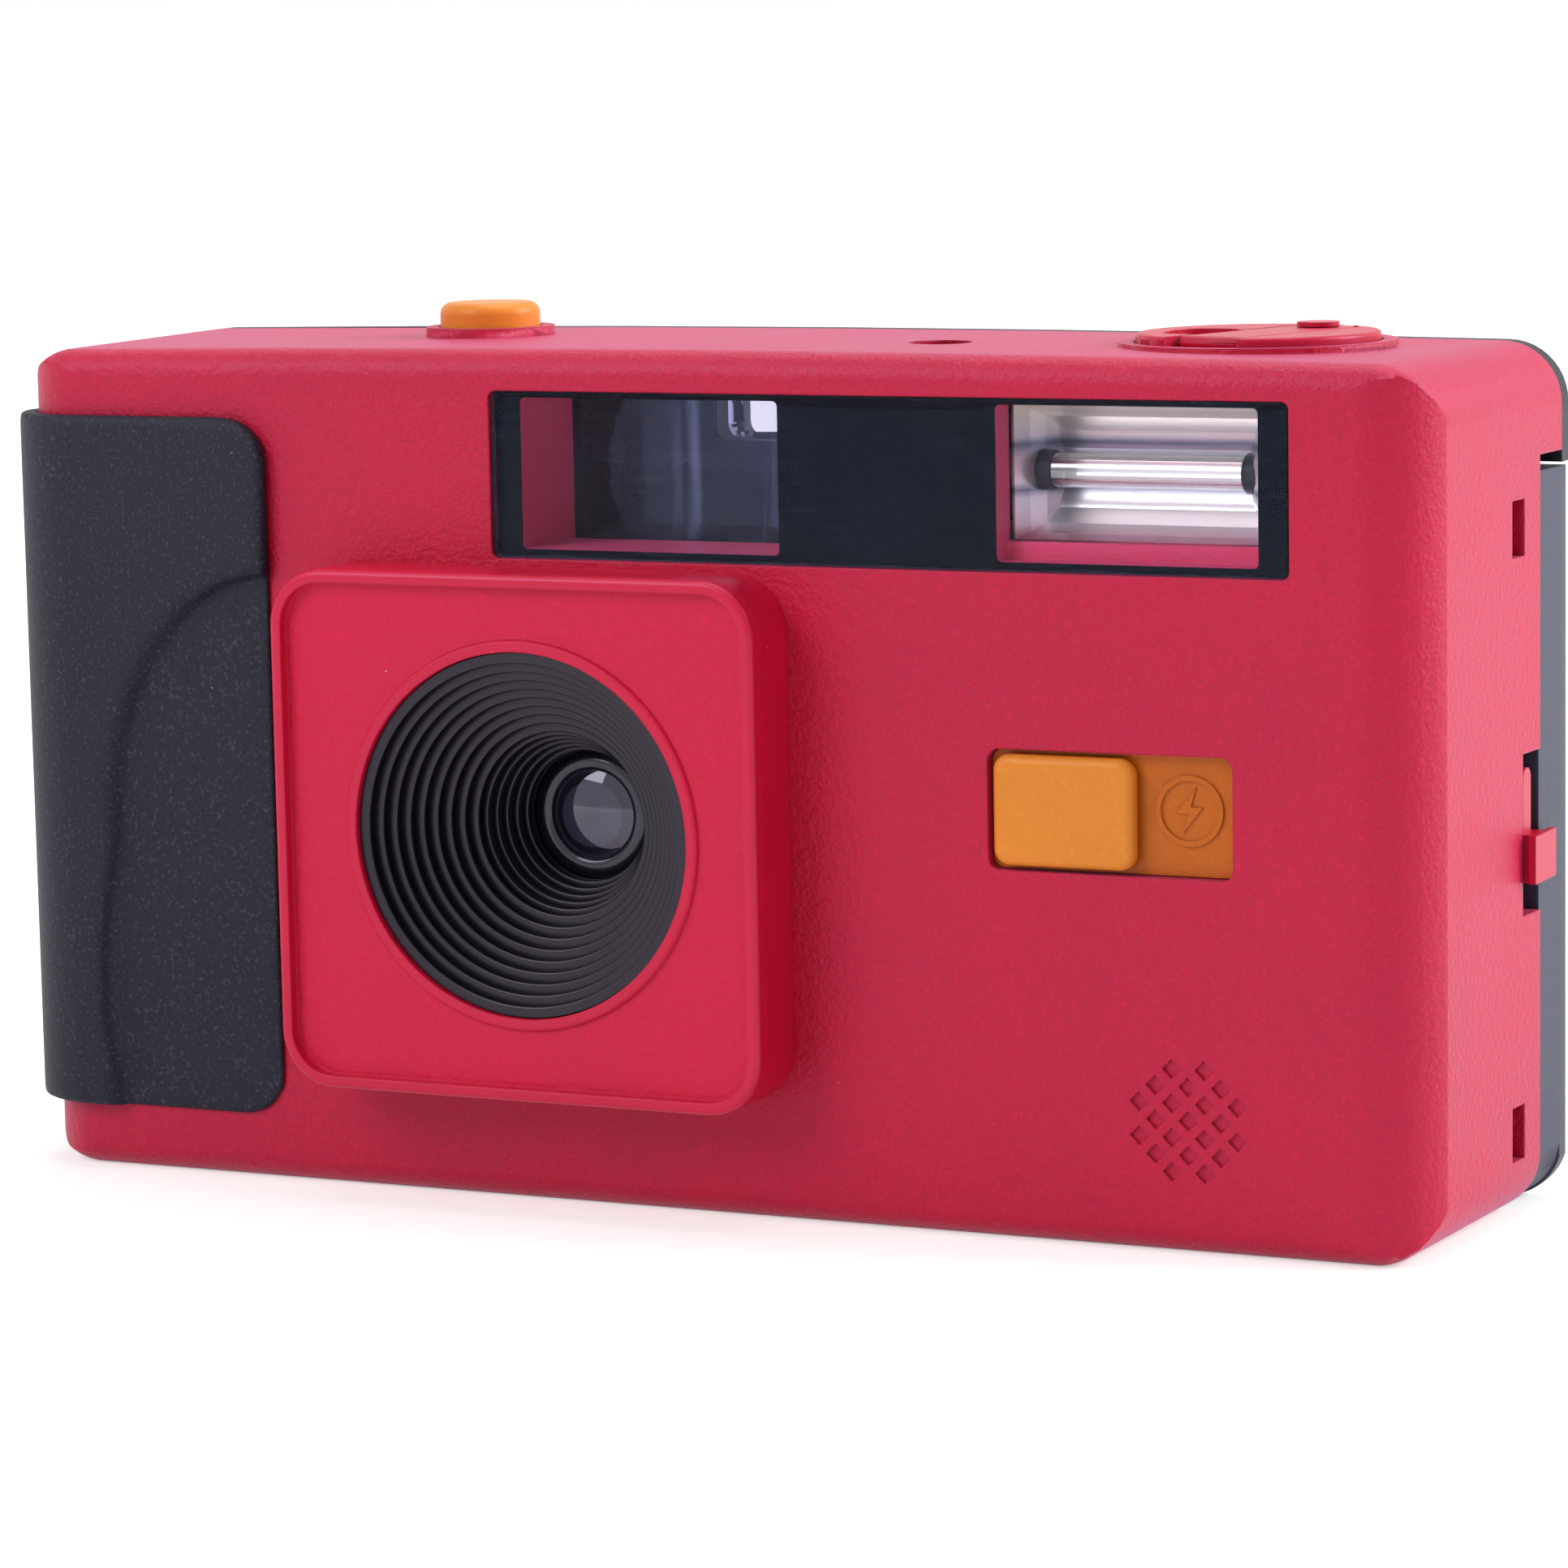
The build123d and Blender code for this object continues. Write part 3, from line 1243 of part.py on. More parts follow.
def door_hinge_pin():
    return rod_z(hinge_x, hinge_y, pin_radius, knuckle_low - 0.4, knuckle_high + 0.4)


def pressure_plate():
    face = rounded(lens_x - 20.5, lens_x + 20.5, lens_z - 16.0, lens_z + 16.0, 2.0)
    return prism_y(face, film_plane + 0.25, film_plane + 0.85)


def pressure_plate_spring():
    """Bowed strip between the pressure plate and the door."""
    low = film_plane + 0.85
    high = door_front
    strip = [(lens_x - 15, low), (lens_x - 5, high - 0.25), (lens_x + 5, high - 0.25), (lens_x + 15, low)]
    strip += [(lens_x + 15, low + 0.25), (lens_x + 5, high), (lens_x - 5, high), (lens_x - 15, low + 0.25)]
    return prism_z(make_face(Polyline(*strip, close=True)), lens_z - 5, lens_z + 5)


def door_light_seal():
    left = 4.2 - body_half_width
    return block(left, left + 2.1, film_plane + 0.3, door_front, 3.0, door_top - 1.3)


os.makedirs("parts", exist_ok=True)
outside = casing_outside()
save("front_shell", front_shell(outside))
save("lens_bezel", lens_bezel())
save("bezel_screws", bezel_screws())
save("baffle_cone", baffle_cone())
save("lens_retainer", lens_retainer())
save("front_lens", front_lens())
save("lens_barrel", lens_barrel())
save("aperture_plate", aperture_plate())
save("shutter_blade", shutter_blade())
save("rear_lens", rear_lens())
save("window_panel", window_panel())
save("window_mask", window_mask())
save("viewfinder_front_lens", viewfinder_front_lens())
save("viewfinder_tunnel", viewfinder_tunnel())
save("viewfinder_eyepiece", viewfinder_eyepiece())
save("flash_reflector", flash_reflector())
save("flash_tube", flash_tube())
save("flash_tube_caps", flash_tube_caps())
save("flash_board", flash_board())
save("flash_capacitor", flash_capacitor())
save("flash_transformer", flash_transformer())
save("battery_sleeve", battery_sleeve())
save("battery_contact_top", battery_contact_top())
save("battery_door", battery_door())
save("battery_door_contact", battery_door_contact())
save("switch_bed", switch_bed())
save("flash_switch_knob", flash_switch_knob())
save("shutter_button", shutter_button())
save("release_bar", release_bar())
save("button_leaf_spring", button_leaf_spring())
save("grip_cover", grip_cover(outside))
save("chassis", chassis())
save("case_screws", case_screws())
save("thumbwheel", thumbwheel())
save("take_up_spool", take_up_spool())
save("sprocket_shaft", sprocket_shaft())
save("frame_counter_dial", frame_counter_dial())
save("rewind_release_button", rewind_release_button())
save("rewind_bush", rewind_bush())
save("rewind_fork", rewind_fork())
save("rewind_disc", rewind_disc())
save("crank_hinge_pin", crank_hinge_pin())
save("crank_lever", crank_lever())
save("crank_knob", crank_knob())
save("latch_slide", latch_slide())
save("back_door", back_door())
save("film_check_window", film_check_window())
save("door_hinge_pin", door_hinge_pin())
save("pressure_plate", pressure_plate())
save("pressure_plate_spring", pressure_plate_spring())
save("door_light_seal", door_light_seal())
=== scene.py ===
import json
import math

import bpy
from mathutils import Matrix, Vector

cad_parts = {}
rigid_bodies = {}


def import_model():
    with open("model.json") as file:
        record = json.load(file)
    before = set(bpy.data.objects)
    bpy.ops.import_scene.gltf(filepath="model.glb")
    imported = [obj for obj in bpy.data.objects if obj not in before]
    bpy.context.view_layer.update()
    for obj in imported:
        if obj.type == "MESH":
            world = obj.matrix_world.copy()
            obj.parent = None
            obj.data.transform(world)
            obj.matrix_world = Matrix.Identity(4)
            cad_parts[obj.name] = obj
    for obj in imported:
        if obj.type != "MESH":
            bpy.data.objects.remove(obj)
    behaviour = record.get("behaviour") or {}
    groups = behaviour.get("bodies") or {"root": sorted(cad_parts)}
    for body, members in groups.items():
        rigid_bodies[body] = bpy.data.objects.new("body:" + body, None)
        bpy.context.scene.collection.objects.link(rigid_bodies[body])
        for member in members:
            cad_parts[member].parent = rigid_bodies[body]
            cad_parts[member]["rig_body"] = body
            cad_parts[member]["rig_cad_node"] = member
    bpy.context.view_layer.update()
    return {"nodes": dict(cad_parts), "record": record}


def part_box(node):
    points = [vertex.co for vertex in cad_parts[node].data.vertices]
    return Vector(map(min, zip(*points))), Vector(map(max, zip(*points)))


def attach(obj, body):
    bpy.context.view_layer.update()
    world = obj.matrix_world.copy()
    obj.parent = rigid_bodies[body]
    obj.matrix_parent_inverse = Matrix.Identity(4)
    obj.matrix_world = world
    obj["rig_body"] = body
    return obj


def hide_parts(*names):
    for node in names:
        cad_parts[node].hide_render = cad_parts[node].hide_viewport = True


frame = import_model()

bl_info = {
    "name": "Film camera dressing",
    "version": (1, 0, 0),
    "blender": (4, 5, 0),
    "location": "View3D > Sidebar > Film camera",
    "description": "Gives the pieces of a compact film camera their finishes and fine detail",
    "category": "Object",
}

MM = 0.001

# The front face of the casing lies this far in front of the frame's middle plane.
FRONT_FACE_Y = -12.225 * MM

# Points of a CAD mesh that are nearer than the gap become one point, and faces that meet at
# less than the bend become one face.
MESH_GAP = 0.002 * MM
FLAT_BEND = math.radians(0.3)

# Points of a turned piece that are nearer than this become one point.
TURNED_GAP = 0.0005 * MM

# Tints of the highlights: violet on the red plastic, bluish on the dark ones, warm on the orange.
CAST = (0.9, 0.62, 1.0, 1.0)
COOL = (0.84, 0.86, 1.0, 1.0)
WARM = (1.0, 0.9, 0.76, 1.0)
WHITE = (1.0, 1.0, 1.0, 1.0)

# Dust as cells to a metre, size of a speck in its cell, and the share of cells without one.
ROOM_DUST = (330.0, 0.024, 0.8)
LENS_DUST = (1400.0, 0.03, 0.93)

# The rounded lip of a baffle's step: how far past the lip's radius and behind its face, in mm.
LIP_SECTION = ((0.15, 0.0), (0.05, 0.03), (0.01, 0.08), (0.0, 0.16))

# The ring that holds the lens: radius and depth behind its front, in mm.
KEEPER_SECTION = (
    (3.36, 0.12),
    (3.42, 0.0),
    (3.6, -0.1),
    (3.95, -0.16),
    (4.3, -0.1),
    (4.55, 0.06),
    (4.84, 0.2),
    (4.84, 0.5),
    (4.2, 0.5),
    (3.9, 0.38),
)

# A sleeve of the flash tube: share of its radius, and the distance from its outer end in mm.
SLEEVE_SECTION = (
    (0.0, 0.0),
    (0.75, 0.0),
    (0.92, 0.06),
    (1.0, 0.2),
    (1.0, 1.1),
    (0.95, 1.25),
    (0.8, 1.3),
    (0.0, 1.3),
)

# Each draw of the flash trough: depth in mm, then width and height as shares of the mouth's.
TROUGH_DRAWS = ((1.3, 0.93, 0.93), (1.3, 0.85, 0.80), (1.0, 0.80, 0.58), (0.6, 0.775, 0.30))

# Numbers of the frame counter, in their order round the dial.
COUNTER_LABELS = ("S", "1", "4", "8", "12", "16", "20", "24", "28", "32", "36", "E")

# Each soft light: name, place, size and power.
LAMPS = (
    ("key_box", (-0.38, -0.6, 0.52), 0.45, 3.1),
    ("side_box", (0.8, 0.38, 0.46), 0.5, 8.6),
    ("top_box", (0.0, 0.2, 0.95), 0.7, 3.8),
)


def srgb(red, green, blue):
    """A colour from 0 to 255 as the shader takes it."""
    out = []
    for value in (red, green, blue):
        part = value / 255
        out.append(part / 12.92 if part <= 0.04045 else ((part + 0.055) / 1.055) ** 2.4)
    return tuple(out) + (1.0,)


def tone(colour, factor):
    """A colour made darker or lighter by a factor."""
    return tuple(min(1.0, part * factor) for part in colour[:3]) + (1.0,)


PALE_DUST = srgb(235, 222, 224)


def middle_of(node):
    """The middle of a CAD node's box."""
    low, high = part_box(node)
    return (low + high) / 2


class Wire:
    """A value in a material, which can be added, scaled and compared as a number."""

    def __init__(self, graph, socket):
        self.graph = graph
        self.socket = socket

    def sum_of(self, operation, first, second):
        return self.graph.add("ShaderNodeMath", {"operation": operation}, {0: first, 1: second})

    def __add__(self, other):
        return self.sum_of("ADD", self, other)

    __radd__ = __add__

    def __mul__(self, other):
        return self.sum_of("MULTIPLY", self, other)

    def __sub__(self, other):
        return self.sum_of("SUBTRACT", self, other)

    def __rsub__(self, other):
        return self.sum_of("SUBTRACT", other, self)

    def __gt__(self, other):
        return self.sum_of("GREATER_THAN", self, other)

    def __lt__(self, other):
        return self.sum_of("LESS_THAN", self, other)


class Graph:
    """A tree of shader nodes."""

    def __init__(self, tree):
        self.tree = tree
        self.tree.nodes.clear()

    def add(self, kind, settings=None, inputs=None, out=0):
        """Adds a node, sets it up, feeds its sockets and gives the wire from one output."""
        node = self.tree.nodes.new(kind)
        for key, value in (settings or {}).items():
            if key == "stops":
                ramp = node.color_ramp
                while len(ramp.elements) < len(value):
                    ramp.elements.new(0.5)
                for element, (place, colour) in zip(ramp.elements, value):
                    element.position = place
                    element.color = colour
            else:
                setattr(node, key, value)
        for key, value in (inputs or {}).items():
            if isinstance(value, Wire):
                self.tree.links.new(value.socket, node.inputs[key])
            else:
                node.inputs[key].default_value = value
        return Wire(self, node.outputs[out])

    def twin(self, wire, out):
        """Another output of the node that a wire comes from."""
        return Wire(self, wire.socket.node.outputs[out])

    def seen(self):
        """1 for a ray that comes from the view, from gloss or through glass."""
        camera = self.add("ShaderNodeLightPath", out="Is Camera Ray")
        total = camera + self.twin(camera, "Is Glossy Ray")
        settings = {"operation": "ADD", "use_clamp": True}
        inputs = {0: total, 1: self.twin(camera, "Is Transmission Ray")}
        return self.add("ShaderNodeMath", settings, inputs)


class Finish(Graph):
    """One material and the nodes that make it."""

    def __init__(self, name):
        self.material = bpy.data.materials.new(name)
        self.material.use_nodes = True
        super().__init__(self.material.node_tree)

    def place(self):
        return self.add("ShaderNodeTexCoord", out="Object")

    def parts_of(self, vector):
        """The X, Y and Z of a vector."""
        first = self.add("ShaderNodeSeparateXYZ", {}, {0: vector})
        return first, self.twin(first, 1), self.twin(first, 2)

    def round_axis(self, centre):
        """The distance from the line along Y through a centre, and the Y itself."""
        across, deep, up = self.parts_of(self.place())
        aside = across - centre.x
        above = up - centre.z
        square = aside * aside + above * above
        return self.add("ShaderNodeMath", {"operation": "SQRT"}, {0: square}), deep

    def noise(self, scale, detail=2.0, rough=0.5, vector=None):
        inputs = {"Vector": vector or self.place(), "Scale": scale}
        inputs.update({"Detail": detail, "Roughness": rough})
        return self.add("ShaderNodeTexNoise", {}, inputs, "Fac")

    def stretched(self, scale, spread, detail=2.0):
        """Noise drawn out along some of the three directions."""
        inputs = {"Vector": self.place(), "Scale": spread}
        return self.noise(scale, detail, 0.55, self.add("ShaderNodeMapping", {}, inputs))

    def blend(self, factor, first, second):
        """Mixes two colours."""
        inputs = {0: factor, 6: first, 7: second}
        return self.twin(self.add("ShaderNodeMix", {"data_type": "RGBA"}, inputs), 2)

    def ramp(self, factor, low, high):
        """Takes a value from 0 at low to 1 at high."""
        inputs = {"Value": factor, "From Min": low, "From Max": high}
        return self.add("ShaderNodeMapRange", {"clamp": True}, inputs)

    def mottled(self, broad, colour, dark, light):
        """A colour that wanders between a darker and a lighter tone of itself."""
        return self.blend(self.ramp(broad, 0.3, 0.7), tone(colour, dark), tone(colour, light))

    def peppered(self, shade, share, pits, fine, light, dark):
        """A shade with light specks by one noise and dark ones by another."""
        shade = self.blend(self.ramp(pits, 0.55, 0.75) * share, shade, light)
        return self.blend(self.ramp(fine, 0.5, 0.25) * share, shade, dark)

    def dust(self, per_metre, size, share):
        """A mask of a few small specks, one to a cell at most."""
        inputs = {"Vector": self.place(), "Scale": per_metre}
        near = self.add("ShaderNodeTexVoronoi", {}, inputs, "Distance")
        lot = self.parts_of(self.twin(near, "Color"))[0]
        return (near < size) * (lot > share)

    def dusted(self, shade, share, colour=PALE_DUST, dust=ROOM_DUST):
        """A shade with specks of dust on it."""
        return self.blend(self.dust(*dust) * share, shade, colour)

    def worn_edge(self, radius):
        """A mask that is 1 on edges and 0 on plain faces, and the rounded normal."""
        soft = self.add("ShaderNodeBevel", {"samples": 4}, {"Radius": radius})
        plain = self.add("ShaderNodeNewGeometry", out="Normal")
        settings = {"operation": "DOT_PRODUCT"}
        dot = self.add("ShaderNodeVectorMath", settings, {0: soft, 1: plain}, "Value")
        return self.ramp(1 - dot, 0.02, 0.25), soft

    def relief(self, height, strength, distance, normal=None):
        """The normal of a surface that a height raises and sinks."""
        inputs = {"Strength": strength, "Distance": distance, "Height": height}
        if normal:
            inputs["Normal"] = normal
        return self.add("ShaderNodeBump", {}, inputs)

    def shader(self, **inputs):
        named = {key.replace("_", " "): value for key, value in inputs.items()}
        return self.add("ShaderNodeBsdfPrincipled", {}, named)

    def close(self, shader):
        out = self.tree.nodes.new("ShaderNodeOutputMaterial")
        self.tree.links.new(shader.socket, out.inputs["Surface"])
        return self.material

    def body(self, **inputs):
        """Closes the material with one shader."""
        return self.close(self.shader(**inputs))

    def over_gap(self, cover, gloss, tint=WHITE):
        """Closes the material with gloss over a gap that light passes."""
        gap = self.add("ShaderNodeBsdfTransparent", {}, {"Color": tint})
        return self.close(self.add("ShaderNodeMixShader", {}, {0: cover, 1: gap, 2: gloss}))


def moulded(
    name,
    colour,
    rough=0.45,
    grain=2600.0,
    depth=0.3,
    edge=0.2 * MM,
    gloss=0.4,
    flecks=0.35,
    pepper=0.16,
    glint=None,
    sheen=COOL,
):
    """Moulded plastic: eroded grain, faint flow marks, specks, and edges polished by handling."""
    finish = Finish(name)
    worn, soft = finish.worn_edge(edge)
    fine = finish.noise(grain, 3.0, 0.62)
    pits = finish.noise(grain * 0.42)
    broad = finish.noise(70.0, 3.0, 0.55)
    # Light specks in the grain's pits: painted glints where a colour for them is given, else a
    # lighter tone of the plastic.
    light = glint or tone(colour, 1.9)
    shade = finish.mottled(broad, colour, 0.94, 1.05)
    shade = finish.peppered(shade, pepper, pits, fine, light, tone(colour, 0.6))
    shade = finish.blend(worn * 0.22, shade, tone(colour, 1.25))
    shade = finish.dusted(shade, flecks)
    bump = finish.relief(fine * 0.65 + pits * 0.35, depth, 0.06 * MM, soft)
    roughness = rough + (broad - 0.5) * 0.12 + (pits - 0.5) * 0.1 - worn * 0.08
    return finish.body(
        Base_Color=shade,
        Roughness=roughness,
        Normal=bump,
        Specular_IOR_Level=gloss,
        Specular_Tint=sheen,
    )


def casing_red(name, colour):
    """The casing's red, with painted light making the walls behind the window plate a lighter
    pink.
    """
    finish = Finish(name)
    worn, soft = finish.worn_edge(0.25 * MM)
    across, deep, up = finish.parts_of(finish.place())
    # Painted light: the walls behind the window plate are painted a lighter pink.
    low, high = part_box("window_panel")
    painted_light_walls = (deep > high.y) * (up > low.z) * (up < high.z) * (across > low.x) * (across < high.x)
    fine = finish.noise(1500.0, 4.0, 0.62)
    pits = finish.noise(3000.0)
    broad = finish.noise(70.0, 3.0, 0.55)
    shade = finish.mottled(broad, colour, 0.94, 1.05)
    shade = finish.peppered(shade, 0.3, pits, fine, tone(colour, 1.7), tone(colour, 0.7))
    shade = finish.blend(worn * 0.22, shade, tone(colour, 1.25))
    shade = finish.blend(painted_light_walls * 0.85, shade, srgb(232, 68, 122))
    shade = finish.dusted(shade, 0.25)
    bump = finish.relief(fine * 0.7 + pits * 0.3, 1.0, 0.12 * MM, soft)
    roughness = 0.45 + (broad - 0.5) * 0.12 + (pits - 0.5) * 0.12 - worn * 0.08
    return finish.body(
        Base_Color=shade,
        Roughness=roughness,
        Normal=bump,
        Specular_IOR_Level=0.5,
        Specular_Tint=CAST,
        Sheen_Weight=0.22,
        Sheen_Roughness=0.35,
        Sheen_Tint=(0.6, 0.4, 1.0, 1.0),
    )


def surround_red(name, colour, field_depth):
    """The lens surround: smooth rim and flanks round a grained field."""
    finish = Finish(name)
    worn, soft = finish.worn_edge(0.25 * MM)
    deep = finish.parts_of(finish.place())[1]
    field = (deep > field_depth - 0.35 * MM) * (deep < field_depth + 0.5 * MM)
    fine = finish.noise(1500.0, 4.0, 0.62)
    broad = finish.noise(60.0, 3.0, 0.55)
    shade = finish.mottled(broad, colour, 0.95, 1.05)
    shade = finish.blend(finish.ramp(fine, 0.52, 0.72) * field * 0.3, shade, tone(colour, 1.5))
    shade = finish.blend(worn * 0.3, shade, tone(colour, 1.3))
    shade = finish.dusted(shade, 0.35)
    bump = finish.relief(fine * (field * 0.95 + 0.05), 0.9, 0.11 * MM, soft)
    return finish.body(
        Base_Color=shade,
        Roughness=0.32 + field * 0.14 + (broad - 0.5) * 0.1,
        Normal=bump,
        Specular_IOR_Level=0.5,
        Specular_Tint=CAST,
    )


def turned_black(name, colour):
    """Satin black of the light baffle, with the fine marks that turning left round its ridges."""
    finish = Finish(name)
    reach, deep = finish.round_axis(middle_of("front_lens"))
    turns = (reach + deep) * 42000.0
    rings = finish.add("ShaderNodeMath", {"operation": "SINE"}, {0: turns})
    fine = finish.noise(5200.0, 3.0, 0.6)
    shade = finish.mottled(finish.noise(160.0), colour, 0.8, 1.2)
    shade = finish.dusted(shade, 0.5, srgb(150, 152, 165), (900.0, 0.035, 0.86))
    return finish.body(
        Base_Color=shade,
        Roughness=0.36 + (fine - 0.5) * 0.2,
        Normal=finish.relief(rings * 0.2 + fine * 0.5, 0.12, 0.03 * MM),
        Specular_IOR_Level=0.45,
        Specular_Tint=(0.96, 0.82, 1.0, 1.0),
    )


def brushed(name, colour, rough=0.3, streak=2500.0, depth=0.1):
    """Rolled or plated metal with fine drawn streaks."""
    finish = Finish(name)
    worn, soft = finish.worn_edge(0.08 * MM)
    lines = finish.stretched(streak, (0.08, 1.0, 1.0), 3.0)
    shade = finish.mottled(finish.noise(150.0), colour, 0.85, 1.08)
    bump = finish.relief(lines, depth, 0.03 * MM, soft)
    roughness = rough + (lines - 0.5) * 0.15 - worn * 0.08
    return finish.body(Base_Color=shade, Metallic=1.0, Roughness=roughness, Normal=bump)


def clear(name, colour, veil, bend=1.24, streaks=0.0):
    """A clear moulded sheet: open to light but for gloss, a veil and fine wiping marks."""
    finish = Finish(name)
    marks = finish.stretched(5200.0, (0.05, 1.0, 1.0), 3.0)
    upright = finish.stretched(700.0, (1.0, 0.1, 0.015))
    gloss = finish.shader(
        Base_Color=finish.mottled(finish.noise(220.0), colour, 0.9, 1.0),
        Roughness=0.03 + marks * 0.05,
        Metallic=0.9,
        Normal=finish.relief(marks, 0.05, 0.01 * MM),
    )
    edge = finish.add("ShaderNodeFresnel", {}, {"IOR": bend})
    wiped = finish.ramp(marks, 0.55, 0.8) * 0.02
    # Painted reflection: the upright streaks make the sheet glossier in faint vertical stripes.
    cover = edge + wiped + finish.ramp(upright, 0.56, 0.72) * streaks + veil
    return finish.over_gap(cover, gloss)


def lens_coat(name, colour, bend, tint, veil):
    """A thin lens in a dark mount: the gloss of its coating, and a few dust specks."""
    finish = Finish(name)
    specks = finish.dust(*LENS_DUST)
    shade = finish.mottled(finish.noise(160.0), colour, 0.92, 1.0)
    gloss = finish.shader(Base_Color=shade, Roughness=0.012 + specks * 0.4, Metallic=1.0)
    edge = finish.add("ShaderNodeFresnel", {}, {"IOR": bend})
    return finish.over_gap(edge + specks * 0.2 + veil, gloss, tint)


def deep_glass(name, centre, dish):
    """The taking lens: dark under a violet coating, with painted reflection paler over its dished
    rear face.
    """
    finish = Finish(name)
    reach = finish.round_axis(centre)[0]
    # Painted reflection and shade: paler over the dish, darker towards its centre, and paler again
    # from just outside the dish out to the edge.
    inside = finish.ramp(reach, dish + 0.06 * MM, dish - 0.06 * MM)
    core_painted_shade = finish.ramp(reach, dish * 0.55, dish * 0.2)
    rim = finish.ramp(reach, dish + 0.35 * MM, dish + 1.3 * MM)
    broad = finish.noise(300.0)
    shade = finish.blend(inside, srgb(17, 15, 26), srgb(58, 54, 74))
    shade = finish.blend(core_painted_shade * 0.6, shade, srgb(14, 12, 18))
    shade = finish.blend(rim * 0.8, shade, srgb(52, 48, 72))
    shade = finish.blend(finish.ramp(broad, 0.35, 0.7) * 0.3, shade, srgb(30, 27, 44))
    shade = finish.dusted(shade, 0.5, srgb(190, 190, 205), LENS_DUST)
    return finish.body(
        Base_Color=shade,
        Roughness=0.03 + broad * 0.02,
        IOR=1.75,
        Specular_Tint=(0.86, 0.8, 1.0, 1.0),
    )


def coated_glass(name, tint):
    """Lens glass with a faint coating and a little dust."""
    finish = Finish(name)
    dust = finish.dust(1500.0, 0.05, 0.9)
    shade = finish.mottled(finish.noise(120.0), tint, 0.9, 1.0)
    roughness = 0.015 + dust * 0.3
    return finish.body(Base_Color=shade, Roughness=roughness, IOR=1.55, Transmission_Weight=1.0)


def printed_mask(name, colour):
    """Black print behind the clear plate: deep and slightly blue."""
    finish = Finish(name)
    broad = finish.noise(60.0, 3.0)
    shade = finish.mottled(broad, colour, 0.75, 1.25)
    shade = finish.dusted(shade, 0.6, srgb(170, 178, 192), (260.0, 0.02, 0.82))
    bump = finish.relief(finish.noise(3200.0), 0.04, 0.02 * MM)
    roughness = 0.22 + (broad - 0.5) * 0.08
    return finish.body(
        Base_Color=shade, Roughness=roughness, Normal=bump, Specular_IOR_Level=0.08
    )


def silver_trough(name, low, high):
    """Bright drawn foil with fine drawn lines, and painted reflections banded from the trough's
    foot to its top.
    """
    finish = Finish(name)
    up = finish.parts_of(finish.place())[2]
    # Painted reflections, from the foot up: pink from the red casing, then pale and cream stripes
    # parted by two blue-grey lines.
    painted_reflection_bands = (
        (0.00, srgb(206, 120, 150)),
        (0.10, srgb(246, 238, 248)),
        (0.30, srgb(232, 232, 242)),
        (0.36, srgb(128, 136, 160)),
        (0.42, srgb(248, 244, 252)),
        (0.60, srgb(228, 222, 236)),
        (0.70, srgb(112, 126, 156)),
        (0.76, srgb(242, 238, 246)),
        (0.92, srgb(250, 246, 236)),
        (1.00, srgb(250, 246, 234)),
    )
    rise = finish.ramp(up, low, high)
    shade = finish.add("ShaderNodeValToRGB", {"stops": painted_reflection_bands}, {0: rise})
    drawn = finish.stretched(5200.0, (0.03, 1.0, 1.0), 3.0)
    shade = finish.blend(finish.ramp(drawn, 0.5, 0.8) * 0.25, shade, srgb(255, 255, 255))
    bump = finish.relief(drawn, 0.06, 0.02 * MM)
    roughness = 0.18 + drawn * 0.1
    return finish.body(Base_Color=shade, Metallic=0.7, Roughness=roughness, Normal=bump)


def circuit_board(name, colour):
    """Solder mask with copper tracks showing through."""
    finish = Finish(name)
    settings = {"distance": "MANHATTAN", "feature": "DISTANCE_TO_EDGE"}
    inputs = {"Vector": finish.place(), "Scale": 420.0}
    tracks = finish.add("ShaderNodeTexVoronoi", settings, inputs) < 0.09
    shade = finish.blend(tracks, tone(colour, 0.8), tone(colour, 1.7))
    bump = finish.relief(tracks, 0.3, 0.04 * MM)
    roughness = 0.35 + (finish.noise(120.0) - 0.5) * 0.1
    return finish.body(Base_Color=shade, Roughness=roughness, Normal=bump)


def foam(name, colour):
    """Open foam pile."""
    finish = Finish(name)
    inputs = {"Vector": finish.place(), "Scale": 2600.0}
    cells = finish.add("ShaderNodeTexVoronoi", {}, inputs, "Distance")
    broad = finish.noise(200.0)
    shade = finish.blend(broad, tone(colour, 0.6), tone(colour, 1.6))
    bump = finish.relief(cells, 0.7, 0.15 * MM)
    return finish.body(Base_Color=shade, Roughness=0.9 + (broad - 0.5) * 0.1, Normal=bump)


def colour_field(name, description, default):
    """A colour that the panel shows."""
    return bpy.props.FloatVectorProperty(
        name=name, description=description, subtype="COLOR", size=4, default=default
    )


def length_field(name, description, default):
    """A length that the panel shows."""
    return bpy.props.FloatProperty(
        name=name, description=description, subtype="DISTANCE", unit="LENGTH", default=default
    )


def angle_field(name, description, degrees):
    """An angle that the panel shows."""
    turned = math.radians(degrees)
    return bpy.props.FloatProperty(
        name=name, description=description, subtype="ANGLE", unit="ROTATION", default=turned
    )


class CameraColours(bpy.types.PropertyGroup):
    """Colours of the camera's main finishes."""

    casing: colour_field("Casing", "Colour of the moulded casing", srgb(187, 10, 46))
    grip: colour_field("Grip", "Colour of the soft grip cover", srgb(20, 20, 32))
    controls: colour_field("Controls", "Colour of the button and the switch", srgb(226, 134, 40))
    film_frame: colour_field(
        "Film frame", "Colour of the inner black mouldings", srgb(20, 20, 24)
    )
    door: colour_field("Back door", "Colour of the hinged back", srgb(50, 53, 70))
    print_black: colour_field(
        "Window print", "Colour of the print round the windows", srgb(5, 13, 30)
    )


